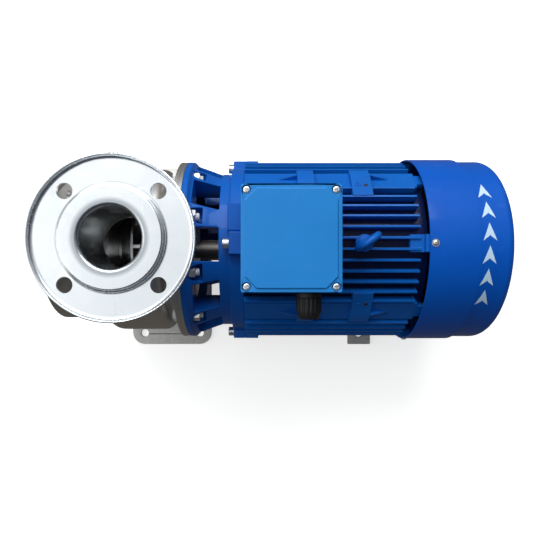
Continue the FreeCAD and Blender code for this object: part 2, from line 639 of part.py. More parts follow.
def shaft_seal():
    """Mechanical seal: fixed ceramic seat, turning head and its coil spring, and a splash ring."""
    seat_back = "hub_end - hub_web"
    seat_front = f"{seat_back} - seat_length"
    turned_piece("seal_seat", rectangle(seat_front, seat_back, "seat_bore", "seat_pocket - weld_gap"))
    head_back = f"{seat_front} - seal_film"
    head_front = f"{head_back} - head_length"
    turned_piece("seal_head", [
        (head_front, "shaft_radius + press_gap"),
        (head_front, "head_radius"),
        (f"{head_back} - 2", "head_radius"),
        (head_back, "head_radius - 2"),
        (head_back, "shaft_radius + press_gap"),
    ])
    spring = new_body("seal_spring")
    sketch = sketch_on(spring, "XZ_Plane")
    start = "hub_front + hub_length"
    draw(sketch, [((f"{start} + spring_wire + weld_gap", "spring_radius"), "spring_wire")])
    doc.recompute()
    coil = spring.newObject("PartDesign::AdditiveHelix", "seal_spring_coil")
    coil.Profile = sketch
    coil.ReferenceAxis = (sketch, ["H_Axis"])
    coil.Mode = 0
    coil.setExpression("Pitch", bound("spring_pitch"))
    coil.setExpression("Height", bound(f"{head_front} - ({start}) - 2 * spring_wire - 2 * weld_gap"))
    doc.recompute()
    turned_piece("splash_ring", [
        ("slinger_start", "slinger_seat + press_gap"),
        ("slinger_start", "slinger_seat + 5"),
        ("slinger_start + 4", "slinger_seat + 5"),
        ("slinger_start + slinger_length - 2", "slinger_radius"),
        ("slinger_start + slinger_length", "slinger_radius"),
        ("slinger_start + slinger_length", "slinger_seat + press_gap"),
    ])


def bracket():
    """Cast lantern and front end shield in one: ten windows, lugs, a top block and a bearing seat."""
    front = "front_cover_back"
    seat = "front_bearing_outer + press_gap"
    spigot = "frame_bore - weld_gap"
    body = turned_piece("bracket", [
        (front, "bracket_bore"),
        (front, "joint_rim"),
        (f"{front} + bracket_front_rim", "joint_rim"),
        ("bracket_slope_start", "bracket_slope_radius"),
        ("cone_end", "cone_radius"),
        ("shield_front", "cone_radius"),
        ("shield_front", "shield_radius"),
        ("frame_front", "shield_radius"),
        ("frame_front", spigot),
        ("frame_front + spigot_length", spigot),
        ("frame_front + spigot_length", "spigot_inner"),
        ("web_back", "spigot_inner - 4"),
        ("web_back", "boss_radius"),
        ("frame_front", "boss_radius"),
        ("frame_front", seat),
        ("front_bearing_start", seat),
        ("front_bearing_start", "lip_bore"),
        ("web_start", "lip_bore"),
        ("web_start", "bracket_bore"),
    ])
    window = rectangle("window_start", "window_end", "-window_width / 2", "window_width / 2")
    cut = add_pocket(body, "XY_Plane", "bracket_bore / 2", [window], "joint_rim")
    repeat_round(body, [cut], 10)
    lugs = [radial_block("cone_radius - 4", "lug_radius", "lug_half", turn) for turn in (0, 90, 180, 270)]
    add_pad(body, "YZ_Plane", "shield_front", lugs, "frame_front - shield_front")
    block = rectangle("block_inner", "block_outer", "block_root", "block_top")
    add_pad(body, "YZ_Plane", "block_start", [block], "frame_front - block_start")
    notches = [(point, "nut_notch") for point in JOINT_POINTS]
    add_pocket(body, "YZ_Plane", "flange_back", notches, "notch_depth")
    holes = [(point, "bolt_radius + screw_gap") for point in JOINT_POINTS]
    add_pocket(body, "YZ_Plane", front, holes, f"flange_back - ({front})")
    holes = [(point, "lug_bolt + screw_gap") for point in LUG_POINTS]
    add_pocket(body, "YZ_Plane", "shield_front", holes, "frame_front - shield_front")


def shield_bolts():
    """Socket screws that hold the front end shield to the motor frame."""
    body = new_body("shield_bolts")
    heads = [(point, "lug_bolt_head") for point in LUG_POINTS]
    add_pad(body, "YZ_Plane", "shield_front - lug_bolt * 2", heads, "lug_bolt * 2")
    shanks = [(point, "lug_bolt") for point in LUG_POINTS]
    add_pad(body, "YZ_Plane", "shield_front", shanks, "frame_front - shield_front + lug_bolt_depth")
    sockets = [hexagon(point, "lug_bolt") for point in LUG_POINTS]
    add_pocket(body, "YZ_Plane", "shield_front - lug_bolt * 2", sockets, "lug_bolt")


def ball_bearing(place, count):
    """Deep-groove bearing as outer ring, inner ring, balls and cage."""
    start = f"{place}_bearing_start"
    width = f"{place}_bearing_width"
    middle = f"{start} + {width} / 2"
    pitch = f"{place}_pitch"
    ball = f"{place}_ball"
    shoulder = f"{place}_shoulder"
    outer = turned_piece(f"{place}_bearing_outer_ring", rectangle(
        start, f"{start} + {width}", f"{pitch} + {shoulder}", f"{place}_bearing_outer"))
    inner = turned_piece(f"{place}_bearing_inner_ring", rectangle(
        start, f"{start} + {width}", "journal_radius + press_gap", f"{pitch} - {shoulder}"))
    for ring in (outer, inner):
        sketch = sketch_on(ring, "XZ_Plane")
        draw(sketch, [((middle, pitch), f"{ball} + ball_gap")])
        doc.recompute()
        groove = ring.newObject("PartDesign::Groove", f"{ring.Name}_race")
        groove.Profile = sketch
        groove.ReferenceAxis = (sketch, ["H_Axis"])
        groove.Angle = 360
        doc.recompute()
    balls = new_body(f"{place}_bearing_balls")
    half_disc = [(f"{middle} - {ball}", "0", ball, 1), (middle, ball, ball, 1), (f"{middle} + {ball}", "0")]
    for step in range(count):
        turn = 360 * step / count
        sketch = sketch_on(balls, "XZ_Plane")
        sketch.setExpression("AttachmentOffset.Base.y", bound(f"{pitch} * cos({turn})"))
        sketch.setExpression("AttachmentOffset.Base.z", bound(f"-{pitch} * sin({turn})"))
        draw(sketch, [half_disc])
        doc.recompute()
        sphere = balls.newObject("PartDesign::Revolution", f"{balls.Name}_ball")
        sphere.Profile = sketch
        sphere.ReferenceAxis = (sketch, ["H_Axis"])
        sphere.Angle = 360
        doc.recompute()
    cage = new_body(f"{place}_bearing_cage")
    add_turned(cage, rectangle(f"{middle} - cage_width - {ball} / 2", f"{middle} + cage_width + {ball} / 2",
                               f"{pitch} - cage_wall", f"{pitch} + cage_wall"))
    for step in range(count):
        turn = 360 * step / count
        sketch = sketch_on(cage, "XZ_Plane")
        sketch.setExpression("AttachmentOffset.Base.y", bound(f"{pitch} * cos({turn})"))
        sketch.setExpression("AttachmentOffset.Base.z", bound(f"-{pitch} * sin({turn})"))
        gap = f"{ball} + ball_gap"
        draw(sketch, [[(f"{middle} - ({gap})", "0", gap, 1), (middle, gap, gap, 1),
                       (f"{middle} + {gap}", "0")]])
        doc.recompute()
        room = cage.newObject("PartDesign::Groove", f"{cage.Name}_room")
        room.Profile = sketch
        room.ReferenceAxis = (sketch, ["H_Axis"])
        room.Angle = 360
        doc.recompute()


QUARTERS = (0, 90, 180, 270)
CORNERS = (45, 135, 225, 315)
TAIL_POINTS = round_points(4, "tail_bolt_circle", 45)
FOOT_BOLT_POINTS = [(f"motor_foot_start + foot_bolt_first + {step} * foot_bolt_step", "0") for step in (0, 1)]


# Fins stand in four groups, as many on one half of a group as on the other.
FINS_PER_HALF = 6


def top_pad(place, side):
    """Outline of a pad on a top corner: its flat face falls to a ridge and a steep skirt."""
    points = [(f"{place}_y", f"{place}_z"), ("pad_ridge_y", "pad_ridge_z"), ("pad_skirt_y", "pad_skirt_z"),
              ("pad_heel_y", "pad_heel_z"), (f"{place}_y * pad_root", f"{place}_z * pad_root")]
    return [(f"{side} * {y}", z) for y, z in points]


def motor_frame():
    """Cast aluminium frame: bore for the core, 48 fins, flat corners with pads, lugs and box seat."""
    body = new_body("motor_frame")
    wall = "frame_bore + frame_wall"
    length = "frame_back - frame_front"
    add_pad(body, "YZ_Plane", "frame_front", [(("0", "0"), wall)], length)
    steps = [step + 0.5 for step in range(-FINS_PER_HALF, FINS_PER_HALF)]
    fins = [radial_block(f"{wall} - 2", "fin_tip", "fin_width / 2", f"fin_pitch * {step}") for step in steps]
    fin = add_pad(body, "YZ_Plane", "frame_front", fins, "fin_back - frame_front")
    repeat_round(body, [fin], 4)
    panels = [radial_block("frame_bore + 4", "panel_radius", "panel_half", turn) for turn in CORNERS]
    add_pad(body, "YZ_Plane", "frame_front", panels, length)
    low_pads = [radial_block("panel_radius - 1", "panel_radius + pad_rise", "pad_half", turn)
                for turn in (135, 225)]
    for place in ("front_pad", "rear_pad"):
        high_pads = [top_pad(place, side) for side in (-1, 1)]
        add_pad(body, "YZ_Plane", f"{place}_start", low_pads + high_pads, f"{place}_length")
    feet = [radial_block("panel_radius - 1", "panel_radius + pad_rise", "foot_pad_half", turn)
            for turn in (135, 225)]
    add_pad(body, "YZ_Plane", "motor_foot_start", feet, "motor_foot_length")
    lugs = [radial_block(f"{wall} - 4", "lug_radius", "lug_half", turn) for turn in QUARTERS]
    add_pad(body, "YZ_Plane", "frame_front", lugs, "lug_length")
    bosses = [radial_block(f"{wall} - 4", "tail_boss", "rear_lug_half", turn) for turn in QUARTERS]
    add_pad(body, "YZ_Plane", "frame_back - lug_length", bosses, "lug_length")
    seat = rectangle("platform_start", "platform_end", "-platform_half", "platform_half")
    add_pad(body, "XY_Plane", "frame_bore - 5", [seat], "platform_top - frame_bore + 5")
    add_pad(body, "XY_Plane", "frame_bore", [(("eye_bolt_x", "0"), "eye_boss")], "eye_boss_top - frame_bore")
    add_pocket(body, "YZ_Plane", "frame_front", [(("0", "0"), "frame_bore")], length)
    box_middle = "(box_start + box_end) / 2"
    add_pocket(body, "XY_Plane", "frame_bore - 10", [((box_middle, "0"), "cable_hole")], "platform_top")
    eye_thread = "eye_boss_top - lifting_shank * 3"
    add_pocket(body, "XY_Plane", eye_thread, [(("eye_bolt_x", "0"), "lifting_shank + press_gap")],
               "lifting_shank * 4")
    threads = [(point, "lug_bolt + press_gap") for point in LUG_POINTS]
    add_pocket(body, "YZ_Plane", "frame_front", threads, "lug_bolt_depth + 1")
    threads = [(point, "lug_bolt + press_gap") for point in TAIL_POINTS]
    add_pocket(body, "YZ_Plane", "frame_back - lug_bolt_depth", threads, "lug_bolt_depth")
    for turn in (135, 225):
        start = "panel_radius + pad_rise - foot_bolt_depth"
        holes = [(point, "foot_bolt + press_gap") for point in FOOT_BOLT_POINTS]
        add_pocket(body, "XY_Plane", start, holes, "foot_bolt_depth + 1", turn=turn)


SLOTS = 24
ROTOR_BARS = 28
FAN_BLADES = 8
GRILLE_RINGS = 7


def stator():
    """Stack of core sheets with closed slots, and the windings that fill them."""
    core = turned_piece("stator_core", rectangle(
        "core_start", "core_start + core_length", "stator_bore", "frame_bore - press_gap"))
    slot = add_pocket(core, "YZ_Plane", "core_start",
                      [radial_block("slot_inner", "slot_outer", "slot_width / 2", 0)], "core_length")
    repeat_round(core, [slot], SLOTS)
    windings = new_body("stator_windings")
    bar = add_pad(windings, "YZ_Plane", "core_start - 1", [radial_block(
        "slot_inner + weld_gap", "slot_outer - weld_gap", "slot_width / 2 - weld_gap", 0)], "core_length + 2")
    repeat_round(windings, [bar], SLOTS)
    inner = "slot_inner + 2"
    add_turned(windings, [
        ("winding_front", f"{inner} + 4"), ("winding_front + 4", inner), ("core_start - 0.5", inner),
        ("core_start - 0.5", "winding_outer - 4"), ("winding_front + 6", "winding_outer"),
        ("winding_front", "winding_outer - 4")])
    back = "core_start + core_length + 0.5"
    add_turned(windings, [
        (back, inner), ("winding_back - 4", inner), ("winding_back", f"{inner} + 4"),
        ("winding_back", "winding_outer - 4"), ("winding_back - 6", "winding_outer"),
        (back, "winding_outer - 4")])


def rotor():
    """Rotor core on the shaft with its cast cage of bars and end rings."""
    core = turned_piece("rotor_core", rectangle(
        "core_start", "core_start + core_length", "core_seat + press_gap", "stator_bore - air_gap"))
    hole = add_pocket(core, "YZ_Plane", "core_start", [(("0", "bar_circle"), "bar_radius + press_gap")],
                      "core_length")
    repeat_round(core, [hole], ROTOR_BARS)
    cage = new_body("rotor_cage")
    bar = add_pad(cage, "YZ_Plane", "core_start - 1", [(("0", "bar_circle"), "bar_radius")], "core_length + 2")
    repeat_round(cage, [bar], ROTOR_BARS)
    for start in ("core_start - end_ring_length", "core_start + core_length"):
        add_turned(cage, rectangle(start, f"{start} + end_ring_length", "end_ring_inner", "end_ring_outer"))


def rear_end_shield():
    """Cast cover at the fan end: spigot, bearing hub, and lugs for its bolts and for the fan cover."""
    spigot = "frame_bore - weld_gap"
    seat = "rear_bearing_outer + press_gap"
    stop = "rear_bearing_start + rear_bearing_width + wave_spring_room"
    body = turned_piece("rear_end_shield", [
        ("frame_back - spigot_length", "spigot_inner"),
        ("frame_back - spigot_length", spigot),
        ("frame_back", spigot),
        ("frame_back", "rear_shield_radius"),
        ("rear_shield_back", "rear_shield_radius"),
        ("rear_shield_back", "shaft_hole"),
        (stop, "shaft_hole"),
        (stop, seat),
        ("rear_bearing_start", seat),
        ("rear_bearing_start", "rear_hub"),
        ("rear_web_start", "rear_hub"),
        ("rear_web_start", "spigot_inner"),
    ])
    lug = "sqrt((cover_radius - cover_wall - soft_gap) ^ 2 - rear_lug_half ^ 2)"
    lugs = [radial_block("rear_shield_radius - 6", lug, "rear_lug_half", turn) for turn in QUARTERS]
    add_pad(body, "YZ_Plane", "frame_back", lugs, "2 * (cover_screw_x - frame_back) - 4")
    ears = [radial_block("rear_shield_radius - 6", "panel_radius", "lug_bolt * 2.5", turn) for turn in CORNERS]
    add_pad(body, "YZ_Plane", "frame_back", ears, "rear_shield_back - frame_back")
    holes = [(point, "lug_bolt + screw_gap") for point in TAIL_POINTS]
    add_pocket(body, "YZ_Plane", "frame_back", holes, "rear_shield_back - frame_back")
    screw = (("cover_screw_x", "0"), "cover_screw + press_gap")
    thread = add_pocket(body, "XY_Plane", f"{lug} - cover_screw_length", [screw], "cover_screw_length + 1")
    repeat_round(body, [thread], 4)
    bolts = new_body("rear_shield_bolts")
    heads = [hexagon(point, "foot_bolt_head") for point in TAIL_POINTS]
    add_pad(bolts, "YZ_Plane", "rear_shield_back", heads, "foot_bolt_height")
    shanks = [(point, "lug_bolt") for point in TAIL_POINTS]
    depth = "lug_bolt_depth - 2"
    add_pad(bolts, "YZ_Plane", f"frame_back - ({depth})", shanks, f"rear_shield_back - frame_back + {depth}")
    turned_piece("wave_spring", rectangle("rear_bearing_start + rear_bearing_width", stop, "wave_spring_inner",
                                          "rear_bearing_outer - soft_gap"))


def cooling_fan():
    """Moulded fan on the shaft's tail: hub, disc and eight straight blades, with its spring clip."""
    body = turned_piece("cooling_fan", [
        ("fan_start", "fan_seat + press_gap"),
        ("fan_start", "fan_radius - 8"),
        ("fan_start + fan_disc", "fan_radius - 8"),
        ("fan_start + fan_disc", "fan_hub"),
        ("fan_start + fan_length", "fan_hub - 3"),
        ("fan_start + fan_length", "fan_seat + press_gap"),
    ])
    blade = add_pad(body, "YZ_Plane", "fan_start", [radial_block("fan_hub - 4", "fan_radius",
                    "fan_blade_wall / 2", 0)], "fan_length - 4")
    repeat_round(body, [blade], FAN_BLADES)
    turned_piece("fan_clip", rectangle("fan_start + fan_length", "fan_start + fan_length + clip_height",
                                       "fan_seat + press_gap", "clip_radius"))


def fan_cover():
    """Deep-drawn sheet cover with a stepped skirt, a rounded tail and an air grille of round holes."""
    tail = "cover_tail_radius"
    inner_tail = "cover_tail_radius - cover_wall"
    back = "cover_end - cover_wall"
    body = turned_piece("fan_cover", [
        ("cover_start", "cover_radius - cover_wall"),
        ("cover_start", "cover_radius"),
        ("cover_step - 4", "cover_radius"),
        ("cover_step", tail),
        ("cover_end - cover_round", tail, "cover_round", 1),
        ("cover_end", f"{tail} - cover_round"),
        ("cover_end", "0"),
        (back, "0"),
        (back, f"{tail} - cover_round", "cover_round - cover_wall", -1),
        ("cover_end - cover_round", inner_tail),
        ("cover_step - 1", inner_tail),
        ("cover_step - 5", "cover_radius - cover_wall"),
    ])
    for ring in range(GRILLE_RINGS):
        radius = f"grille_first + {ring} * grille_step"
        count = int(2 * math.pi * number(radius) / number("grille_step"))
        hole = add_pocket(body, "YZ_Plane", back, [(("0", radius), "grille_hole")], "cover_wall")
        repeat_round(body, [hole], count)
    screw = (("cover_screw_x", "0"), "cover_screw + screw_gap")
    hole = add_pocket(body, "XY_Plane", "cover_radius - 2 * cover_wall", [screw], "3 * cover_wall")
    repeat_round(body, [hole], 4)
    screws = new_body("fan_cover_screws")
    turned = add_turned(screws, [
        ("0", "cover_radius - cover_screw_length"),
        ("cover_screw", "cover_radius - cover_screw_length"),
        ("cover_screw", "cover_radius"),
        ("cover_screw_head", "cover_radius"),
        ("cover_screw_head", "cover_radius + 1"),
        ("cover_screw_head - 1.5", "cover_radius + cover_screw_rise"),
        ("0", "cover_radius + cover_screw_rise"),
    ], axis="V_Axis", across="cover_screw_x")
    repeat_round(screws, [turned], 4)


def terminal_box():
    """Cast box on the frame with gasket, raised lid, four screws, terminal board and earth screw."""
    middle = "(box_start + box_end) / 2"
    corners = grid_points(middle, "0", "lid_screw_dx", "lid_screw_dy")
    outer = ("box_start", "box_end", "-box_half", "box_half")
    inner = ("box_start + box_wall", "box_end - box_wall", "-box_half + box_wall", "box_half - box_wall")
    floor = "platform_top + box_wall"
    base = new_body("terminal_box_base")
    add_pad(base, "XY_Plane", "platform_top", [rounded_rectangle(*outer, "4")], "box_top - platform_top")
    add_pocket(base, "XY_Plane", floor, [rectangle(*inner)], f"box_top - ({floor})")
    posts = [(point, "box_wall + 1") for point in corners]
    add_pad(base, "XY_Plane", "platform_top + 1", posts, "box_top - platform_top - 1")
    add_pocket(base, "XY_Plane", "box_top - 14", [(point, "lid_screw + press_gap") for point in corners], "14")
    add_pocket(base, "XY_Plane", "platform_top", [((middle, "0"), "cable_hole")], "box_wall")
    add_pocket(base, "XZ_Plane", "box_half - box_wall", [(("gland_x", "gland_z"), "gland_thread + press_gap")],
               "box_wall")
    add_pocket(base, "XY_Plane", "platform_top + 1", [(("earth_x", "earth_y"), "lid_screw + press_gap")],
               "box_wall - 1")
    gasket = new_body("lid_gasket")
    add_pad(gasket, "XY_Plane", "box_top", [rectangle(*outer)], "gasket_height")
    hollow = cut_rectangle("box_start + box_wall", "box_end - box_wall", "(-box_half + box_wall)",
                           "box_half - box_wall", "panel_cut")
    add_pocket(gasket, "XY_Plane", "box_top", [hollow], "gasket_height")
    add_pocket(gasket, "XY_Plane", "box_top", [(point, "lid_screw + screw_gap") for point in corners],
               "gasket_height")
    lid = new_body("terminal_box_lid")
    seat = "box_top + gasket_height"
    shelf = "lid_top - panel_rise"
    edge = rounded_rectangle("box_start - lid_overhang", "box_end + lid_overhang", "(-box_half - lid_overhang)",
                             "box_half + lid_overhang", "3")
    add_pad(lid, "XY_Plane", seat, [edge], f"{shelf} - ({seat})")
    panel = cut_rectangle("box_start - lid_overhang + panel_margin", "box_end + lid_overhang - panel_margin",
                          "(-box_half - lid_overhang + panel_margin)", "box_half + lid_overhang - panel_margin",
                          "panel_cut")
    add_pad(lid, "XY_Plane", shelf, [panel], "panel_rise")
    add_pocket(lid, "XY_Plane", seat, [hollow], f"lid_top - lid_wall - ({seat})")
    add_pocket(lid, "XY_Plane", seat, [(point, "lid_screw + screw_gap") for point in corners],
               f"lid_top - ({seat})")
    sinks = [(point, "lid_screw_head + screw_gap") for point in corners]
    add_pocket(lid, "XY_Plane", f"{shelf} - lid_screw_sink", sinks, "lid_screw_sink + panel_rise")
    screws = new_body("lid_screws")
    head = f"{shelf} - lid_screw_sink"
    add_pad(screws, "XY_Plane", head, [(point, "lid_screw_head") for point in corners], "lid_screw_sink - 0.5")
    add_pad(screws, "XY_Plane", "box_top - 12", [(point, "lid_screw") for point in corners],
            f"{head} - box_top + 12")
    board = new_body("terminal_board")
    plate = rectangle("board_start", "board_start + board_length", "-board_half", "board_half")
    add_pad(board, "XY_Plane", f"{floor}", [plate], "board_height")
    stud_middle = "board_start + board_length / 2"
    places = [(f"{stud_middle} + {i} * stud_dx / 2", f"{j} * stud_dy") for i in (-1, 1) for j in (-1, 0, 1)]
    top = f"{floor} + board_height"
    add_pocket(board, "XY_Plane", f"{floor} + 2", [(point, "stud_radius + press_gap") for point in places],
               "board_height - 2")
    clear = [((middle, "0"), "cable_hole / 2")]
    add_pocket(board, "XY_Plane", floor, clear, "board_height")
    studs = new_body("terminal_studs")
    add_pad(studs, "XY_Plane", f"{floor} + 2", [(point, "stud_radius") for point in places],
            "board_height - 2 + stud_length")
    nuts = new_body("terminal_nuts")
    add_pad(nuts, "XY_Plane", top, [hexagon(point, "stud_nut") for point in places], "stud_nut_height")
    add_pocket(nuts, "XY_Plane", top, [(point, "stud_radius + press_gap") for point in places],
               "stud_nut_height")
    earth = new_body("earth_screw")
    add_pad(earth, "XY_Plane", "platform_top + 1", [(("earth_x", "earth_y"), "lid_screw")], "box_wall - 1")
    add_pad(earth, "XY_Plane", floor, [(("earth_x", "earth_y"), "lid_screw_head")], "stud_nut_height")


def cable_gland():
    """Moulded gland in the box's side: threaded body, locknut inside, rubber seal and clamping nut."""
    wall = "(-box_half)"
    collar = f"{wall} - gland_collar"
    barrel_end = f"{collar} - gland_nut_length * 0.6"
    nut_end = f"{collar} - gland_collar - gland_nut_length"
    body = turned_piece("cable_gland", [
        ("gland_bore", f"{wall} + box_wall + locknut_height + 2"),
        ("gland_thread", f"{wall} + box_wall + locknut_height + 2"),
        ("gland_thread", wall),
        ("gland_hex", wall),
        ("gland_hex", collar),
        ("gland_thread - 1", collar),
        ("gland_thread - 1", barrel_end),
        ("gland_bore", barrel_end),
    ], role="XY_Plane", axis="V_Axis")
    place_piece(body, x="gland_x", z="gland_z")
    nut = turned_piece("gland_nut", [
        ("gland_thread - 1 + press_gap", collar),
        ("gland_hex - 1", collar),
        ("gland_hex - 1", f"{collar} - gland_nut_length"),
        ("gland_nut_tip", nut_end),
        ("gland_bore", nut_end),
        ("gland_bore", f"{barrel_end} - 1"),
        ("gland_thread - 1 + press_gap", f"{barrel_end} - 1"),
    ], role="XY_Plane", axis="V_Axis")
    place_piece(nut, x="gland_x", z="gland_z")
    seal = turned_piece("gland_seal", [
        ("gland_bore - 2", collar),
        ("gland_bore - weld_gap", collar),
        ("gland_bore - weld_gap", barrel_end),
        ("gland_bore - 2", barrel_end),
    ], role="XY_Plane", axis="V_Axis")
    place_piece(seal, x="gland_x", z="gland_z")
    locknut = new_body("gland_locknut")
    add_pad(locknut, "XZ_Plane", "box_half - box_wall - locknut_height",
            [hexagon(("gland_x", "gland_z"), "gland_hex")], "locknut_height")
    add_pocket(locknut, "XZ_Plane", "box_half - box_wall - locknut_height",
               [(("gland_x", "gland_z"), "gland_thread + press_gap")], "locknut_height")


def lifting_eye():
    """Forged eye bolt screwed into the frame's top boss."""
    body = turned_piece("lifting_eye", [
        ("0", "-lifting_shank * 2.5"),
        ("lifting_shank", "-lifting_shank * 2.5"),
        ("lifting_shank", "0"),
        ("lifting_collar", "0"),
        ("lifting_collar", "lifting_collar_height / 2"),
        ("lifting_shank + 1", "lifting_collar_height + 1"),
        ("0", "lifting_collar_height + 1"),
    ], axis="V_Axis")
    sketch = sketch_on(body, "XY_Plane", "lifting_collar_height + lifting_ring")
    draw(sketch, [(("lifting_ring", "0"), "lifting_bar")])
    doc.recompute()
    ring = body.newObject("PartDesign::Revolution", "lifting_eye_ring")
    ring.Profile = sketch
    ring.ReferenceAxis = (sketch, ["V_Axis"])
    ring.Angle = 360
    doc.recompute()
    body.Placement = FreeCAD.Placement(FreeCAD.Vector(), FreeCAD.Rotation(number("lifting_turn"), 0, 0))
    place_piece(body, x="eye_bolt_x", z="eye_boss_top")


def pump_foot():
    """Welded foot under the pump: floor plate, upright behind the bolt heads and two gussets."""
    body = new_body("pump_foot")
    end = "foot_start + foot_length"
    middle = "foot_start + foot_length / 2"
    plate = rounded_rectangle("foot_start", end, "(-foot_reach)", "foot_reach", "foot_corner")
    add_pad(body, "XY_Plane", "-floor_depth", [plate], "foot_plate")
    floor = "(-floor_depth + foot_plate)"
    back = "flange_front - foot_plate"
    upright = [("-upright_half", floor), ("upright_half", floor), ("upright_half", "-upright_top"),
               ("-upright_half", "-upright_top")]
    add_pad(body, "YZ_Plane", back, [upright], "foot_plate")
    for side in ("upright_half", "foot_plate - upright_half"):
        web = [("gusset_start", floor), (back, floor), (back, "-upright_top - gusset_drop")]
        add_pad(body, "XZ_Plane", f"-({side})", [web], "foot_plate")
    add_pocket(body, "YZ_Plane", back, [(("0", "0"), "waist_radius + soft_gap")], "foot_plate")
    add_pocket(body, "YZ_Plane", back, [(point, "bolt_radius + screw_gap") for point in LOW_POINTS],
               "foot_plate")
    holes = [(point, "foot_hole") for point in grid_points(middle, "0", "foot_hole_dx", "foot_hole_dy")]
    add_pocket(body, "XY_Plane", "-floor_depth", holes, "foot_plate")


def motor_feet():
    """Bent steel feet under the motor: a flange on the frame's pad, a leg, a floor toe and a gusset."""
    pad = "(panel_radius + pad_rise)"
    wall = "motor_foot_wall"
    half = "foot_pad_half"
    root = "sqrt(2)"
    leg = f"({pad} - {half}) / {root}"
    floor = "(-floor_depth)"
    screws = new_body("motor_foot_bolts")
    for label, way in (("motor_foot_left", 1), ("motor_foot_right", -1)):
        body = new_body(label)
        outline = [
            (f"{way} * {leg}", f"-({pad} + {half}) / {root}"),
            (f"{way} * ({pad} + {half}) / {root}", f"-({pad} - {half}) / {root}"),
            (f"{way} * ({pad} + {wall} + {half}) / {root}", f"-({pad} + {wall} - {half}) / {root}"),
            (f"{way} * ({leg} + {wall})", f"{leg} + {wall} - ({pad} + {wall}) * {root}"),
            (f"{way} * ({leg} + {wall})", f"{floor} + {wall}"),
            (f"{way} * foot_reach", f"{floor} + {wall}"),
            (f"{way} * foot_reach", floor),
            (f"{way} * {leg}", floor),
        ]
        add_pad(body, "YZ_Plane", "motor_foot_start", [outline], "motor_foot_length")
        web = [(f"{way} * ({leg} + {wall} - 1)", f"{floor} + {wall} - 1"),
               (f"{way} * ({leg} + {wall} - 1)", f"{floor} + foot_web"),
               (f"{way} * (foot_reach - foot_web)", f"{floor} + {wall} - 1")]
        add_pad(body, "YZ_Plane", "motor_foot_start + motor_foot_length / 2 - foot_plate / 2", [web],
                "foot_plate")
        turn = 225 if way == 1 else 135
        add_pocket(body, "XY_Plane", pad, [(point, "foot_bolt + screw_gap") for point in FOOT_BOLT_POINTS],
                   f"{wall}", turn=turn)
        hole = (("motor_foot_start + motor_foot_length / 2", f"{way} * foot_hole_dy / 2"), "foot_hole")
        add_pocket(body, "XY_Plane", floor, [hole], wall)
        shanks = [(point, "foot_bolt") for point in FOOT_BOLT_POINTS]
        add_pad(screws, "XY_Plane", f"{pad} - foot_bolt_depth + 1", shanks, f"foot_bolt_depth - 1 + {wall}",
                turn=turn)
        heads = [hexagon(point, "foot_bolt_head") for point in FOOT_BOLT_POINTS]
        add_pad(screws, "XY_Plane", f"{pad} + {wall}", heads, "foot_bolt_height", turn=turn)


for build in (suction_flange, discharge_flange, pump_casing, suction_neck, discharge_neck, plugs,
              casing_cover, casing_o_ring, joint_fasteners, wear_ring, impeller, impeller_fixings, shaft,
              shaft_seal, bracket, shield_bolts):
    build()
ball_bearing("front", 8)
ball_bearing("rear", 9)
for build in (motor_frame, stator, rotor, rear_end_shield, cooling_fan, fan_cover, terminal_box, cable_gland,
              lifting_eye, pump_foot, motor_feet):
    build()
doc.recompute()

for item in doc.Objects:
    if "Invalid" in item.State or "Error" in item.State:
        raise RuntimeError(f"{item.Name} did not build")
for node in nodes:
    if node.Shape.isNull() or not node.Shape.isValid():
        raise RuntimeError(f"{node.Label} has no valid shape")

os.makedirs("parts", exist_ok=True)
for node in nodes:
    node.Shape.exportStep(f"parts/{node.Label}.step")
    print(node.Label, len(node.Shape.Solids), round(node.Shape.Volume))
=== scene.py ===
import math

import bmesh
import bpy
from mathutils import Matrix, Vector


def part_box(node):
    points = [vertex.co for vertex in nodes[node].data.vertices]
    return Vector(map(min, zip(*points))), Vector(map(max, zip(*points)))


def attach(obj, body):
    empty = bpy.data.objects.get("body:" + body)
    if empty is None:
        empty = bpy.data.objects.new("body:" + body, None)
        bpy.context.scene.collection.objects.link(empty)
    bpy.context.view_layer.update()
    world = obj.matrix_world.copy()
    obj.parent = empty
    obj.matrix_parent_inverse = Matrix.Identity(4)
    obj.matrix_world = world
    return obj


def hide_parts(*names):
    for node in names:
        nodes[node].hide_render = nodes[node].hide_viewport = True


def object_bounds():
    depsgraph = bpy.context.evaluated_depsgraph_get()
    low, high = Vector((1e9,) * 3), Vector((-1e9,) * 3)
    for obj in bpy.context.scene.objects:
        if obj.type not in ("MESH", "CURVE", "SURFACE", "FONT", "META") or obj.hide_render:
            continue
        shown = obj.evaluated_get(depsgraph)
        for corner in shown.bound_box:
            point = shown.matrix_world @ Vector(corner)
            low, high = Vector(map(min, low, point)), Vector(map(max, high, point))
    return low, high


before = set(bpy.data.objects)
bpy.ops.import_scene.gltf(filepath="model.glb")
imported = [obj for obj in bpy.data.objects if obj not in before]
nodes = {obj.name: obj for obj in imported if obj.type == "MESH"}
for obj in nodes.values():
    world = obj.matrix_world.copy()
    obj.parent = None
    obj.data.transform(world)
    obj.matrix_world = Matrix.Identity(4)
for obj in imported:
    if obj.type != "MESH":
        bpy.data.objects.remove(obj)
cad_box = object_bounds()
scene = bpy.context.scene


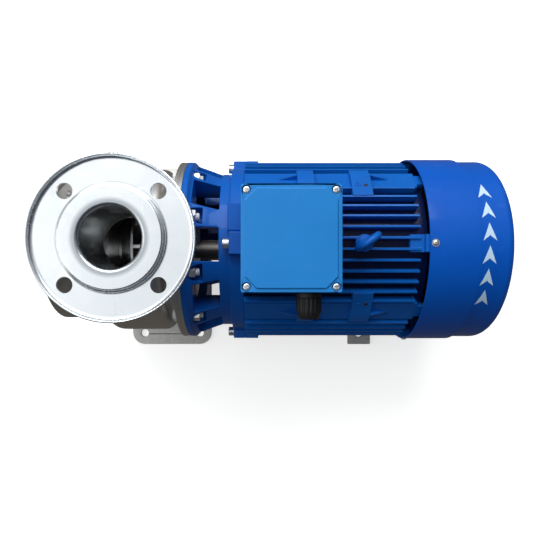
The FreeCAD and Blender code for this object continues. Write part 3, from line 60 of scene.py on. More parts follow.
# The studio. The camera hangs above the motor and looks straight down. The pump stands on a pale
# floor that bends up into a wall all round, under a wide soft light from the far side.
class Wire:
    """A node's output that takes part in sums; each sum adds its own node."""

    def __init__(self, tree, socket=None):
        self.tree = tree
        self.socket = socket

    def add(self, kind, settings, sockets, output=0):
        """Add a node, set its settings, fill its sockets, and return one of its outputs."""
        node = self.tree.nodes.new(kind)
        for name, value in settings.items():
            if name == "stops":
                ramp = node.color_ramp.elements
                while len(ramp) < len(value):
                    ramp.new(0.5)
                for stop, (place, colour) in zip(ramp, value):
                    stop.position = place
                    stop.color = (*colour, 1)
            else:
                setattr(node, name, value)
        for key, value in sockets.items():
            if isinstance(value, Wire):
                self.tree.links.new(value.socket, node.inputs[key])
            else:
                node.inputs[key].default_value = value
        return Wire(self.tree, node.outputs[output])

    def sum(self, operation, *values):
        return self.add("ShaderNodeMath", {"operation": operation}, dict(enumerate(values)))

    def __add__(self, other):
        return self.sum("ADD", self, other)

    def __sub__(self, other):
        return self.sum("SUBTRACT", self, other)

    def __rsub__(self, other):
        return self.sum("SUBTRACT", other, self)

    def __mul__(self, other):
        return self.sum("MULTIPLY", self, other)

    def __truediv__(self, other):
        return self.sum("DIVIDE", self, other)

    __radd__ = __add__
    __rmul__ = __mul__

    def clamped(self, low, high):
        """0 where this is below low, 1 above high, and a soft rise between."""
        return self.add("ShaderNodeMapRange", {"interpolation_type": "SMOOTHSTEP"},
                        {0: self, 1: low, 2: high, 3: 0.0, 4: 1.0})

    def between(self, low, high):
        """A colour from low, where this is 0, to high, where this is 1."""
        colours = {6: low if isinstance(low, Wire) else (*low, 1),
                   7: high if isinstance(high, Wire) else (*high, 1)}
        return self.add("ShaderNodeMix", {"data_type": "RGBA"}, {0: self, **colours}, 2)

    def parts(self):
        """The x, y and z of a place."""
        first = self.add("ShaderNodeSeparateXYZ", {}, {0: self})
        return [Wire(self.tree, output) for output in first.socket.node.outputs]


image_pixels = 540
pixels_at_one_metre = 473
lens = bpy.data.cameras.new("camera")
lens.sensor_width = 36
lens.lens = pixels_at_one_metre / image_pixels * lens.sensor_width
shift_pixels = (9, 13)
lens.shift_x, lens.shift_y = [pixels / image_pixels for pixels in shift_pixels]
lens.clip_start = 0.01
camera = bpy.data.objects.new("camera", lens)
camera.location = (0.288, -0.049, 0.707)
scene.collection.objects.link(camera)
scene.camera = camera
scene.view_settings.view_transform = "Standard"

# The room is bright overhead and on the far side; its near walls and its lowest part are dark.
world = bpy.data.worlds.new("soft_room")
world.use_nodes = True
scene.world = world
room = Wire(world.node_tree)
towards = room.add("ShaderNodeTexCoord", {}, {}, "Generated")
lit_wall = Vector((-0.28, 0.84, 0.46)).normalized()
lit_ceiling = Vector((-0.40, 0.10, 0.91)).normalized()
wall, ceiling = [room.add("ShaderNodeVectorMath", {"operation": "DOT_PRODUCT"}, {0: towards, 1: way}, 1)
                 for way in (lit_wall, lit_ceiling)]
walls = wall.clamped(0.0, 0.95).between((0.055, 0.06, 0.075), (0.60, 0.62, 0.64))
height = towards.parts()[2]
low_walls = wall.clamped(0.0, 0.95).between((0.075, 0.08, 0.09), (0.36, 0.37, 0.38))
upper_walls = height.clamped(0.0, 0.55).between(low_walls, walls)
upper_room = ceiling.clamped(0.895, 0.955).between(upper_walls, (0.95, 0.98, 1.0))
room_colour = height.clamped(-0.08, 0.02).between((0.11, 0.10, 0.09), upper_room)
background = world.node_tree.nodes["Background"]
world.node_tree.links.new(room_colour.socket, background.inputs["Color"])


def area_light(name, place, target, width, height, watts, colour):
    """A soft box that hangs at a place and faces a target."""
    light = bpy.data.lights.new(name, "AREA")
    light.shape = "RECTANGLE"
    light.size = width
    light.size_y = height
    light.energy = watts
    light.color = colour
    box = bpy.data.objects.new(name, light)
    box.location = place
    box.rotation_euler = (Vector(target) - Vector(place)).to_track_quat("-Z", "Y").to_euler()
    scene.collection.objects.link(box)


pump_middle = (0.30, 0.0, 0.0)
area_light("far_side_light", place=(0.05, 1.45, 1.40), target=pump_middle,
           width=2.4, height=1.3, watts=37, colour=(0.98, 0.99, 1.0))
area_light("suction_side_light", place=(-1.30, -0.10, 1.10), target=pump_middle,
           width=0.9, height=1.4, watts=6, colour=(1.0, 0.99, 0.97))


class Finish:
    """A surface whose colour, gloss and relief follow patterns on the piece's own coordinates."""

    def __init__(self, name, **values):
        self.material = bpy.data.materials.new(name)
        self.material.use_nodes = True
        self.shader = self.material.node_tree.nodes["Principled BSDF"]
        for socket, value in values.items():
            self.shader.inputs[socket.replace("_", " ")].default_value = value
        self.wire = Wire(self.material.node_tree)
        self.place = self.wire.add("ShaderNodeTexCoord", {}, {}, "Object")

    def grain(self, size, detail=3.0, stretch=(1, 1, 1), seed=0.0):
        """Noise of a given size in metres, from 0 to 1, drawn out where stretch is above 1."""
        scale = tuple(1 / (size * part) for part in stretch)
        place = self.wire.add("ShaderNodeMapping", {}, {0: self.place, 1: (seed, seed, seed), 3: scale})
        return self.wire.add("ShaderNodeTexNoise", {}, {"Vector": place, "Scale": 1.0, "Detail": detail})

    def reach(self, centre, axis):
        """Distance from an axis through centre, in metres."""
        across = [part - middle for part, middle, turned in zip(self.place.parts(), centre, axis)
                  if not turned]
        return self.wire.sum("SQRT", across[0] * across[0] + across[1] * across[1])

    def round_grain(self, centre, axis, size, detail=2.0):
        """Fine rings about an axis through centre, as a lathe tool leaves them."""
        along = self.place.parts()[axis.index(1)]
        rings = self.wire.add("ShaderNodeCombineXYZ", {}, {
            0: self.reach(centre, axis) / size, 1: along / size, 2: 0.0})
        return self.wire.add("ShaderNodeTexNoise", {}, {"Vector": rings, "Scale": 1.0, "Detail": detail})

    def set(self, socket, wire):
        self.wire.tree.links.new(wire.socket, self.shader.inputs[socket])

    def relief(self, height, depth):
        """Raise the surface by height, from 0 to 1, times depth in metres."""
        bump = self.wire.add("ShaderNodeBump", {}, {"Height": height, "Distance": depth, "Strength": 1.0})
        self.set("Normal", bump)


def mesh_of(work, name):
    """The mesh that a finished piece of bmesh work makes."""
    mesh = bpy.data.meshes.new(name)
    work.to_mesh(mesh)
    work.free()
    return mesh


floor_level = cad_box[0][2]
floor_radius = 5.0
floor_bend = 4.0
wall_height = 30.0
floor_finish = Finish("pale_floor", Roughness=0.75, Emission_Strength=0.62,
                      Emission_Color=(1.0, 0.995, 0.985, 1))
floor_tint = floor_finish.grain(0.35, detail=2.0)
floor_finish.set("Base Color", floor_tint.between((0.90, 0.895, 0.885), (0.93, 0.925, 0.915)))
bend_turns = [math.radians(turn) for turn in range(0, 91, 6)]
floor_profile = [(0.0, 0.0)]
floor_profile += [(floor_radius + floor_bend * math.sin(turn), floor_bend * (1 - math.cos(turn)))
                  for turn in bend_turns]
floor_profile += [(floor_radius + floor_bend, wall_height)]
sweep = bmesh.new()
profile_line = [sweep.verts.new((x, 0, floor_level + z)) for x, z in floor_profile]
for first, second in zip(profile_line, profile_line[1:]):
    sweep.edges.new((first, second))
bmesh.ops.spin(sweep, geom=sweep.verts[:] + sweep.edges[:], axis=(0, 0, 1), steps=72, angle=2 * math.pi)
bmesh.ops.remove_doubles(sweep, verts=sweep.verts, dist=1e-4)
bmesh.ops.recalc_face_normals(sweep, faces=sweep.faces)
bmesh.ops.reverse_faces(sweep, faces=[face for face in sweep.faces if face.normal.z < -1e-6])
floor_mesh = mesh_of(sweep, "floor")
floor_mesh.shade_smooth()
floor_mesh.materials.append(floor_finish.material)
floor = bpy.data.objects.new("floor", floor_mesh)
scene.collection.objects.link(floor)
floor.visible_diffuse = False
floor.visible_glossy = False
floor.visible_shadow = False


# The discharge flange. A ring pressed from polished stainless sheet, with a raised face, a soft
# shoulder and a turned-up lip, welded on top of the discharge neck; four bolt holes.
def plain_mesh(piece):
    """Put the mesh that a piece's modifiers make in place of them."""
    made = piece.evaluated_get(bpy.context.evaluated_depsgraph_get())
    mesh = bpy.data.meshes.new_from_object(made)
    piece.modifiers.clear()
    piece.data = mesh


def new_piece(name, mesh, finish=None):
    """A piece of a given mesh and finish, at the origin."""
    piece = bpy.data.objects.new(name, mesh)
    scene.collection.objects.link(piece)
    if finish:
        mesh.materials.clear()
        mesh.materials.append(finish.material)
    return piece


def soften_edges(piece, width, angle=32, rounds=2):
    """Round a piece's sharp edges to a width in metres, if there is one, and smooth what is left."""
    if width:
        bevel = piece.modifiers.new("edges", "BEVEL")
        bevel.width = width
        bevel.segments = rounds
        bevel.limit_method = "ANGLE"
        bevel.angle_limit = math.radians(angle)
        bevel.use_clamp_overlap = False
        bevel.miter_outer = "MITER_ARC"
        plain_mesh(piece)
    piece.data.shade_smooth()
    piece.data.set_sharp_from_angle(angle=math.radians(angle))
    weighted = piece.modifiers.new("normals", "WEIGHTED_NORMAL")
    weighted.keep_sharp = True
    plain_mesh(piece)


def refined(name, node, finish, edge, rounds=2, angle=32):
    """A copy of a solid part, welded and smoothed, with its edges rounded if edge isn't 0."""
    mesh = nodes[node].data.copy()
    custom = mesh.attributes.get("custom_normal")
    if custom:
        mesh.attributes.remove(custom)
    work = bmesh.new()
    work.from_mesh(mesh)
    bmesh.ops.remove_doubles(work, verts=work.verts, dist=2e-5)
    if edge:
        bmesh.ops.join_triangles(work, faces=work.faces, angle_face_threshold=math.radians(1),
                                 angle_shape_threshold=math.radians(60))
    work.to_mesh(mesh)
    work.free()
    piece = new_piece(name, mesh, finish)
    soften_edges(piece, edge, angle, rounds)
    return piece


def fit(piece, body, slot, *replaced):
    """Carry a piece on its body in place of the parts it stands for; slot is not used."""
    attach(piece, body)
    if replaced:
        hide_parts(*replaced)


discharge_axis = (0.125, 0.0, 0.0)
upwards = (0, 0, 1)
polished = Finish("polished_stainless", Metallic=1.0)
turning_rings = polished.round_grain(discharge_axis, upwards, size=0.0006)
handling = polished.grain(0.018, detail=5.0)
scratches = polished.grain(0.004, detail=2.0, stretch=(14, 1, 1)).clamped(0.66, 0.72)
scratches = scratches + polished.grain(0.004, detail=2.0, stretch=(1, 11, 1), seed=3.1).clamped(0.68, 0.74)

# Painted shade and painted dark reflection: the base colour darkens in the shoulder's corner, on the rolled
# edge of the bore, inside the lip and on the lip's outer edge.
from_bore = polished.reach(discharge_axis, upwards)
shaded_corner_line = from_bore.clamped(0.0596, 0.0610) * (1.0 - from_bore.clamped(0.0612, 0.0624))
shaded_rolled_edge = (1.0 - from_bore.clamped(0.0392, 0.0450)) * polished.place.parts()[2].clamped(0.194, 0.198)
shaded_lip_line = from_bore.clamped(0.0880, 0.0894) * (1.0 - from_bore.clamped(0.0898, 0.0908))
shaded_lip_edge = from_bore.clamped(0.0908, 0.0925)
bright_steel = handling.between((0.83, 0.87, 0.90), (0.93, 0.955, 0.97))
painted_shade = shaded_corner_line * 0.5 + shaded_rolled_edge * 0.6 + shaded_lip_line * 0.55 + shaded_lip_edge * 0.3
polished.set("Base Color", painted_shade.between(bright_steel, (0.20, 0.23, 0.25)))
polished.set("Roughness", 0.17 + handling * 0.12 + turning_rings * 0.04 + scratches * 0.10)
polished.relief(turning_rings * 0.5 - scratches * 0.3, depth=0.000005)
discharge_flange = refined("discharge_flange_pressed", "discharge_flange", polished, edge=0)
fit(discharge_flange, "pump_body", "polished_stainless", "discharge_flange")


# The suction side. A forged stainless flange with a raised sealing face and eight holes, on a
# drawn neck that is welded to the casing's front wall.
stainless = Finish("satin_stainless", Metallic=1.0)
drawn_marks = stainless.grain(0.0012, detail=4.0, stretch=(10, 1, 10))
clouds = stainless.grain(0.05, detail=4.0)
stains = stainless.grain(0.022, detail=6.0, seed=5.0).clamped(0.58, 0.75)
steel_colour = clouds.between((0.58, 0.57, 0.55), (0.72, 0.71, 0.69))
stainless.set("Base Color", (stains * 0.5).between(steel_colour, (0.45, 0.38, 0.30)))
stainless.set("Roughness", 0.36 + drawn_marks * 0.14 + stains * 0.1)
stainless.relief(drawn_marks, depth=0.00001)

shaft_line = ((0, 0, 0), (1, 0, 0))
turned_stainless = Finish("turned_stainless", Metallic=1.0)
lathe_rings = turned_stainless.round_grain(*shaft_line, size=0.0005)
turned_clouds = turned_stainless.grain(0.03, detail=3.0)
turned_stainless.set("Base Color", turned_clouds.between((0.56, 0.56, 0.55), (0.70, 0.70, 0.69)))
turned_stainless.set("Roughness", 0.2 + lathe_rings * 0.2)
turned_stainless.relief(lathe_rings, depth=0.00003)

suction_flange = refined("suction_flange_forged", "suction_flange", turned_stainless, edge=0.0008)
fit(suction_flange, "pump_body", "stainless", "suction_flange")
suction_neck = refined("suction_neck_drawn", "suction_neck", stainless, edge=0.0004)
fit(suction_neck, "pump_body", "stainless", "suction_neck")


# The volute casing. Deep-drawn stainless sheet with a flat bolted rim; the discharge neck stands
# on it, and both necks are welded on with a rippled bead, blued by the heat.
casing = refined("casing_pressed", "pump_casing", stainless, edge=0.0006)
fit(casing, "pump_body", "stainless", "pump_casing")
discharge_neck = refined("discharge_neck_drawn", "discharge_neck", polished, edge=0.0004)
fit(discharge_neck, "pump_body", "stainless", "discharge_neck")

heat_tint = Finish("weld_metal", Metallic=1.0)
ripple_tint = heat_tint.grain(0.006, detail=3.0)
heat_tint.set("Base Color", heat_tint.wire.add("ShaderNodeValToRGB", {"stops": [
    (0.25, (0.52, 0.50, 0.47)), (0.45, (0.50, 0.40, 0.26)), (0.6, (0.30, 0.25, 0.36)),
    (0.75, (0.45, 0.46, 0.50))]}, {0: ripple_tint}))
heat_tint.set("Roughness", 0.3 + ripple_tint * 0.25)


def given_inputs(tree, inputs):
    """Give a node tree its geometry in and out and its named inputs, and return them as wires."""
    face = tree.interface
    face.new_socket("Geometry", in_out="INPUT", socket_type="NodeSocketGeometry")
    for name, kind in inputs.items():
        face.new_socket(name, in_out="INPUT", socket_type=f"NodeSocket{kind}")
    face.new_socket("Geometry", in_out="OUTPUT", socket_type="NodeSocketGeometry")
    group = tree.nodes.new("NodeGroupInput")
    return {output.name: Wire(tree, output) for output in group.outputs if output.name}


def laid_out(piece, tree, values):
    """Run a node tree on a piece with the values of its inputs, and keep the plain mesh."""
    layout = piece.modifiers.new("layout", "NODES")
    layout.node_group = tree
    for item in tree.interface.items_tree:
        if item.in_out == "INPUT" and item.name in values:
            layout[item.identifier] = values[item.name]
    plain_mesh(piece)
    return piece


def closed_by(tree, points, drop, rotation, finish):
    """End a tree: set the drops on the points, make them real and give them their finish."""
    start = Wire(tree)
    copies = start.add("GeometryNodeInstanceOnPoints", {}, {
        "Points": points, "Instance": drop, "Rotation": rotation})
    real = start.add("GeometryNodeRealizeInstances", {}, {0: copies})
    done = start.add("GeometryNodeSetMaterial", {}, {0: real, "Material": finish})
    tree.links.new(done.socket, tree.nodes.new("NodeGroupOutput").inputs[0])


def skin(name, rings, sharp=30, bored=False):
    """A closed mesh through rings of points: flat at both ends, or back to its first ring if bored."""
    work = bmesh.new()
    loops = [[work.verts.new(point) for point in ring] for ring in rings]
    for low, high in zip(loops, loops[1:] + loops[:1] if bored else loops[1:]):
        for step in range(len(low)):
            after = (step + 1) % len(low)
            work.faces.new((low[step], low[after], high[after], high[step]))
    if not bored:
        work.faces.new(loops[0])
        work.faces.new(loops[-1])
    bmesh.ops.recalc_face_normals(work, faces=work.faces)
    mesh = mesh_of(work, name)
    mesh.shade_smooth()
    mesh.set_sharp_from_angle(angle=math.radians(sharp))
    return mesh


def ring(radius, height, sides=24):
    """Points about the z axis; radius and height are numbers, or functions of the turn."""
    turns = [2 * math.pi * step / sides for step in range(sides)]
    radii = [radius(turn) if callable(radius) else radius for turn in turns]
    heights = [height(turn) if callable(height) else height for turn in turns]
    return [(r * math.cos(turn), r * math.sin(turn), h) for r, turn, h in zip(radii, turns, heights)]


bead_tree = bpy.data.node_groups.new("weld_ripples_along_a_seam", "GeometryNodeTree")
seam = given_inputs(bead_tree, {"Ripple pitch": "Float", "Ripple": "Object", "Finish": "Material"})
bead = Wire(bead_tree)
seam_curve = bead.add("GeometryNodeMeshToCurve", {}, {0: seam["Geometry"]})
spaced = bead.add("GeometryNodeResampleCurve", {"mode": "LENGTH"},
                  {0: seam_curve, "Length": seam["Ripple pitch"]})
ripple_shape = bead.add("GeometryNodeObjectInfo", {"transform_space": "ORIGINAL"},
                        {"Object": seam["Ripple"]}, "Geometry")
along_seam = bead.add("GeometryNodeInputTangent", {}, {})
lie = bead.add("FunctionNodeAlignRotationToVector", {"axis": "X"}, {"Vector": along_seam})
closed_by(bead_tree, spaced, ripple_shape, lie, seam["Finish"])

ripple_half = 0.0028
ripple_bulge = [(0.05, -0.9), (0.5, -0.75), (0.86, -0.4), (1.0, 0.0), (0.86, 0.4), (0.5, 0.75), (0.05, 0.9)]
ripple_rings = [ring(reach * ripple_half, height * ripple_half, sides=10) for reach, height in ripple_bulge]
ripple = bpy.data.objects.new("ripple", skin("ripple", ripple_rings, sharp=180))


def weld_bead(name, seam_points, pitch):
    """A row of overlapping ripples of weld metal along a closed seam."""
    path = bpy.data.meshes.new(name)
    count = len(seam_points)
    path.from_pydata(seam_points, [(step, (step + 1) % count) for step in range(count)], [])
    piece = laid_out(new_piece(name, path), bead_tree, {
        "Ripple pitch": pitch, "Ripple": ripple, "Finish": heat_tint.material})
    fit(piece, "pump_body", "stainless")


front_wall_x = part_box("suction_neck")[1][0]
suction_seam = 0.0572
suction_seam_points = [(front_wall_x, y, z) for y, z, _ in ring(suction_seam, 0.0, sides=120)]
weld_bead("suction_weld", suction_seam_points, pitch=0.0021)

volute_radius = 0.117
volute_front_round = 0.018
volute_rear_round = 0.012
volute_flat = (0.090, 0.149)
neck_root = 0.0476


def volute_height(x, y):
    """Height of the volute's outside above the shaft at a place in plan."""
    if x < volute_flat[0]:
        fall = volute_flat[0] - x
        radius = volute_radius - volute_front_round + math.sqrt(max(volute_front_round ** 2 - fall ** 2, 0))
    else:
        fall = min(max(x - volute_flat[1], 0), volute_rear_round)
        radius = volute_radius - volute_rear_round + math.sqrt(volute_rear_round ** 2 - fall ** 2)
    return math.sqrt(radius ** 2 - y ** 2)


saddle = [(discharge_axis[0] + x, y, volute_height(discharge_axis[0] + x, y))
          for x, y, _ in ring(neck_root, 0.0, sides=160)]
weld_bead("discharge_weld", saddle, pitch=0.0022)
flange_seam = 0.0379
flange_seam_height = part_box("discharge_neck")[1][2] - 0.0008
flange_seam_points = [(discharge_axis[0] + x, y, flange_seam_height)
                      for x, y, _ in ring(flange_seam, 0.0, sides=100)]
weld_bead("flange_weld", flange_seam_points, pitch=0.0021)


# Behind the volute the dished cover closes the wet end; its plate is clamped between the casing's
# rim and the bracket. The two plugs are turned stainless.
cover = refined("casing_cover_pressed", "casing_cover", stainless, edge=0.0004)
fit(cover, "pump_body", "stainless", "casing_cover")


def hex_reach(flat):
    """Distance from the middle of a hexagon to its side at a turn."""
    def reach(turn):
        return flat / math.cos((turn + math.pi / 6) % (math.pi / 3) - math.pi / 6)
    return reach


def hex_head_rings(flat, low, high, chamfer_low=False):
    """Rings of a hexagon head between two heights, its end turned to a cone."""
    reach = hex_reach(flat)
    drop = math.tan(math.radians(30))
    face = flat * 0.94

    def fall(turn):
        return high - (reach(turn) - face) * drop

    def rise(turn):
        return low + (reach(turn) - face) * drop

    start = [ring(face, low), ring(reach, rise)] if chamfer_low else [ring(reach, low)]
    return start + [ring(reach, fall), ring(face, high)]


def ends(node):
    """Where a part begins and ends along the shaft."""
    return [corner[0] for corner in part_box(node)]


plug_flat = 0.0087
plug_shank_radius = 0.0079
plug_head_height = 0.0078
plug_front, plug_back = ends("priming_plug")
plug_length = plug_back - plug_front
for plug in ("priming_plug", "drain_plug"):
    low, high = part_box(plug)
    middle = (low + high) / 2
    rings = [ring(plug_shank_radius, -plug_length + plug_head_height)] + hex_head_rings(
        plug_flat, 0.0, plug_head_height, chamfer_low=True)
    piece = new_piece(f"{plug}_turned", skin(plug, rings), turned_stainless)
    piece.data.transform(Matrix.Translation((plug_front + plug_head_height, middle.y, middle.z))
                         @ Matrix.Rotation(-math.pi / 2, 4, "Y"))
    fit(piece, "pump_body", "stainless", plug)


# Ten hexagon bolts clamp casing, cover and bracket, each with a washer and a nut. They are bright
# zinc plated; the two lowest also hold the pump's foot, so their heads sit a plate further out.
zinc = Finish("bright_zinc", Metallic=1.0)
zinc_clouds = zinc.grain(0.006, detail=4.0)
zinc_blush = zinc.grain(0.012, detail=3.0, seed=2.0).clamped(0.5, 0.8)
zinc.set("Base Color", zinc_blush.between((0.80, 0.81, 0.83), (0.80, 0.76, 0.62)))
zinc.set("Roughness", 0.2 + zinc_clouds * 0.25)
zinc.relief(zinc_clouds, depth=0.00002)

round_tree = bpy.data.node_groups.new("pieces_round_the_shaft", "GeometryNodeTree")
sizes = given_inputs(round_tree, {
    "Count": "Int", "Rows": "Int", "Along": "Float", "Row step": "Float", "Circle": "Float",
    "First turn": "Float", "Turn step": "Float", "Tilt": "Float", "Loose spin": "Float",
    "Finish": "Material"})
layout = Wire(round_tree)
index = layout.add("GeometryNodeInputIndex", {}, {})
row = layout.sum("FLOORED_MODULO", index, sizes["Rows"])
turn = sizes["First turn"] + (index - row) / sizes["Rows"] * sizes["Turn step"]
spot = layout.add("ShaderNodeCombineXYZ", {}, {
    0: sizes["Along"] + row * sizes["Row step"], 1: sizes["Circle"] * layout.sum("SINE", turn),
    2: sizes["Circle"] * layout.sum("COSINE", turn)})
spots = layout.add("GeometryNodePoints", {}, {"Count": sizes["Count"], "Position": spot})
spin = layout.add("FunctionNodeRandomValue", {"data_type": "FLOAT"},
                  {2: 0.0, 3: sizes["Loose spin"], "Seed": 7}, 1)
about = {axis: layout.add("FunctionNodeAxisAngleToRotation", {}, {"Axis": axis, "Angle": angle})
         for axis, angle in (((0, 0, 1), spin), ((0, 1, 0), sizes["Tilt"]), ((1, 0, 0), 0.0 - turn))}
tipped = layout.add("FunctionNodeRotateRotation", {"rotation_space": "GLOBAL"},
                    {0: about[(0, 0, 1)], 1: about[(0, 1, 0)]})
turned = layout.add("FunctionNodeRotateRotation", {"rotation_space": "GLOBAL"},
                    {0: tipped, 1: about[(1, 0, 0)]})
closed_by(round_tree, spots, sizes["Geometry"], turned, sizes["Finish"])

towards_fan = math.pi / 2
towards_suction = -math.pi / 2


def set_round(name, mesh, finish, count, along, circle, first=0.0, step=0.0, rows=1, row_step=0.0,
              tilt=0.0, spin=0.0):
    """Copies of a mesh round the shaft line, turned from the top towards the far side."""
    return laid_out(new_piece(name, mesh), round_tree, {
        "Count": count, "Rows": rows, "Along": along, "Row step": row_step, "Circle": circle,
        "First turn": math.radians(first), "Turn step": math.radians(step), "Tilt": tilt,
        "Loose spin": math.radians(spin), "Finish": finish.material})


def joined(name, pieces):
    """One piece made of several that share its finish."""
    work = bmesh.new()
    for piece in pieces:
        work.from_mesh(piece.data)
    mesh = mesh_of(work, name)
    whole = new_piece(name, mesh)
    mesh.materials.append(pieces[0].data.materials[0])
    for piece in pieces:
        bpy.data.objects.remove(piece)
    return whole


joint_circle = 0.1125
joint_bolts = 10
joint_step = 360 / joint_bolts
bolt_radius = 0.005
bolt_shank_radius = bolt_radius * 0.99
bolt_flat = 0.008
bolt_head_height = 0.0064
thread_pitch = 0.0015
thread_inside_nut = 0.001
foot_plate = 0.006
high_seat = 0.176
low_seat = high_seat - foot_plate
bolt_end = ends("casing_bolts")[1]
nut_low, nut_high = ends("casing_nuts")


def thread_rings(radius, low, high, pitch):
    """Rings of a threaded end: a row of ridges and a chamfered tip."""
    root = radius * 0.9
    tip = radius * 0.8
    rings = []
    for step in range(int((high - low) / pitch)):
        foot = low + step * pitch
        rings += [ring(root, foot), ring(radius, foot + pitch * 0.5)]
    return rings + [ring(root, high - pitch * 0.4), ring(tip, high)]


def joint_bolt(name, seat):
    """A bolt that points towards the fan, its head's seat at height 0."""
    length = bolt_end - seat
    thread_start = nut_high - thread_inside_nut - seat
    head = [[(x, y, -z) for x, y, z in ring] for ring in hex_head_rings(bolt_flat, 0.0, bolt_head_height)]
    shank = [ring(bolt_shank_radius, 0.0), ring(bolt_shank_radius, thread_start)]
    return skin(name, head[::-1] + shank + thread_rings(bolt_radius, thread_start, length, thread_pitch))


high_bolts = set_round("high_bolts", joint_bolt("high_bolt", high_seat), zinc, count=joint_bolts - 2,
                       along=high_seat, circle=joint_circle, first=180 + 1.5 * joint_step,
                       step=joint_step, tilt=towards_fan, spin=60)
low_bolts = set_round("low_bolts", joint_bolt("low_bolt", low_seat), zinc, count=2, along=low_seat,
                      circle=joint_circle, first=180 - joint_step / 2, step=joint_step,
                      tilt=towards_fan, spin=60)
fit(joined("casing_bolts_plated", [high_bolts, low_bolts]), "pump_body", "zinc_steel", "casing_bolts")

washer_low, washer_high = ends("casing_washers")
washer_height = washer_high - washer_low
washer_bore = bolt_radius * 1.02
washer_radius = 0.010
washer_edge = 0.0003


def collar_rings(inner, outer, low, high, edge):
    """Rings of a flat collar with broken edges, from its bore round to its bore again."""
    return [ring(inner, low), ring(outer - edge, low), ring(outer, low + edge), ring(outer, high - edge),
            ring(outer - edge, high), ring(inner, high)]


washer_rings = collar_rings(washer_bore, washer_radius, 0.0, washer_height, washer_edge)
washers = set_round("casing_washers_plated", skin("washer", washer_rings, bored=True), zinc,
                    count=joint_bolts, along=washer_low, circle=joint_circle,
                    first=joint_step / 2, step=joint_step, tilt=towards_fan)
fit(washers, "pump_body", "zinc_steel", "casing_washers")

nut_height = nut_high - nut_low
nut_bore = bolt_radius * 1.01
nut_mouth = bolt_radius * 1.15
nut_sink = 0.0007
nut_rings = ([ring(nut_bore, 0.0)] + hex_head_rings(bolt_flat, 0.0, nut_height, chamfer_low=True)
             + [ring(nut_mouth, nut_height), ring(nut_bore, nut_height - nut_sink)])
nuts = set_round("casing_nuts_plated", skin("nut", nut_rings, bored=True), zinc, count=joint_bolts,
                 along=nut_low, circle=joint_circle, first=joint_step / 2, step=joint_step,
                 tilt=towards_fan, spin=60)
fit(nuts, "pump_body", "zinc_steel", "casing_nuts")


# The lantern bracket, cast in one piece with the motor's front shield and sprayed with gloss blue
# enamel. Thick enamel softens its edges and follows the sand of the mould.
def enamel(name, deep, light, casting, painted_shade_reach=None, rough_lugs=0.0):
    """Gloss blue enamel over a casting whose skin is as rough as casting says, in metres.

    Between two given distances from the shaft line, the colour fades to a dark navy: painted shade
    in hollows and in the gaps between fins. The tops of lugs can be left rough as cast.
    """
    finish = Finish(name, Roughness=0.5, Specular_IOR_Level=0.12, Coat_Roughness=0.1, Coat_IOR=1.33)
    peel = finish.grain(0.0016, detail=2.0)
    sand = finish.grain(0.006, detail=5.0, seed=1.0)
    flow = finish.grain(0.06, detail=4.0, seed=4.0)
    dust = finish.grain(0.02, detail=6.0, seed=9.0).clamped(0.6, 0.85)
    from_shaft = finish.reach(*shaft_line)
    paint = (dust * 0.10).between(flow.between(deep, light), (0.15, 0.34, 0.62))
    # Painted shade: towards the shaft line the base colour fades to dark navy.
    if painted_shade_reach:
        paint = from_shaft.clamped(*painted_shade_reach).between((0.001, 0.008, 0.062), paint)
    finish.set("Base Color", paint)
    finish.set("Coat Weight", 0.5 - dust * 0.25)
    lug_tops = from_shaft.clamped(0.1286, 0.1292) * finish.grain(0.0022, detail=4.0, seed=6.0)
    finish.relief(peel * 0.25 + sand + lug_tops * rough_lugs, casting)
    return finish


# Inside the lantern the enamel is painted darker: painted shade.
cast_enamel = enamel("blue_enamel_on_castings", deep=(0.002, 0.085, 0.42), light=(0.003, 0.135, 0.56),
                     casting=0.00016, painted_shade_reach=(0.082, 0.104), rough_lugs=3.0)
bracket = refined("bracket_cast", "bracket", cast_enamel, edge=0.0014, rounds=3)
fit(bracket, "pump_body", "blue_enamel", "bracket")


def socket_screw(name, head_radius, head_height, socket_flat, socket_depth, shank_radius, shank_length):
    """A socket-head screw that points down, its head's seat at height 0."""
    rounding = head_radius * 0.12
    mouth = socket_flat * 1.04
    chamfer = 0.0005
    rings = [ring(shank_radius, -shank_length), ring(shank_radius, 0.0), ring(head_radius, 0.0),
             ring(head_radius, head_height - rounding), ring(head_radius - rounding, head_height),
             ring(hex_reach(mouth), head_height), ring(hex_reach(socket_flat), head_height - chamfer),
             ring(hex_reach(socket_flat), head_height - socket_depth)]
    return skin(name, rings)


shield_screw = socket_screw("shield_screw", head_radius=0.0065, head_height=0.008, socket_flat=0.003,
                            socket_depth=0.004, shank_radius=0.004, shank_length=0.016)
shield_screws = set_round("shield_screws_plated", shield_screw, zinc, count=4, along=0.248,
                          circle=0.121, step=90, tilt=towards_suction, spin=60)
fit(shield_screws, "pump_body", "zinc_steel", "shield_bolts")


# The motor frame, cast aluminium under the same blue enamel: forty-eight fins in four groups, flat
# corners with raised pads, and the seats for the terminal box and the feet.
# Between the fins the enamel is painted darker: painted shade.
frame_enamel = enamel("blue_enamel_on_frame", deep=(0.002, 0.095, 0.42), light=(0.003, 0.145, 0.58),
                      casting=0.00009, painted_shade_reach=(0.1135, 0.1215))
motor_frame = refined("motor_frame_cast", "motor_frame", frame_enamel, edge=0.0005)
fit(motor_frame, "pump_body", "blue_enamel", "motor_frame")

rear_shield = refined("rear_shield_cast", "rear_end_shield", frame_enamel, edge=0.0008)
fit(rear_shield, "pump_body", "blue_enamel", "rear_end_shield")


frame_screw_flat = 0.0061
frame_screw_head = 0.0055
frame_screw_radius = 0.004


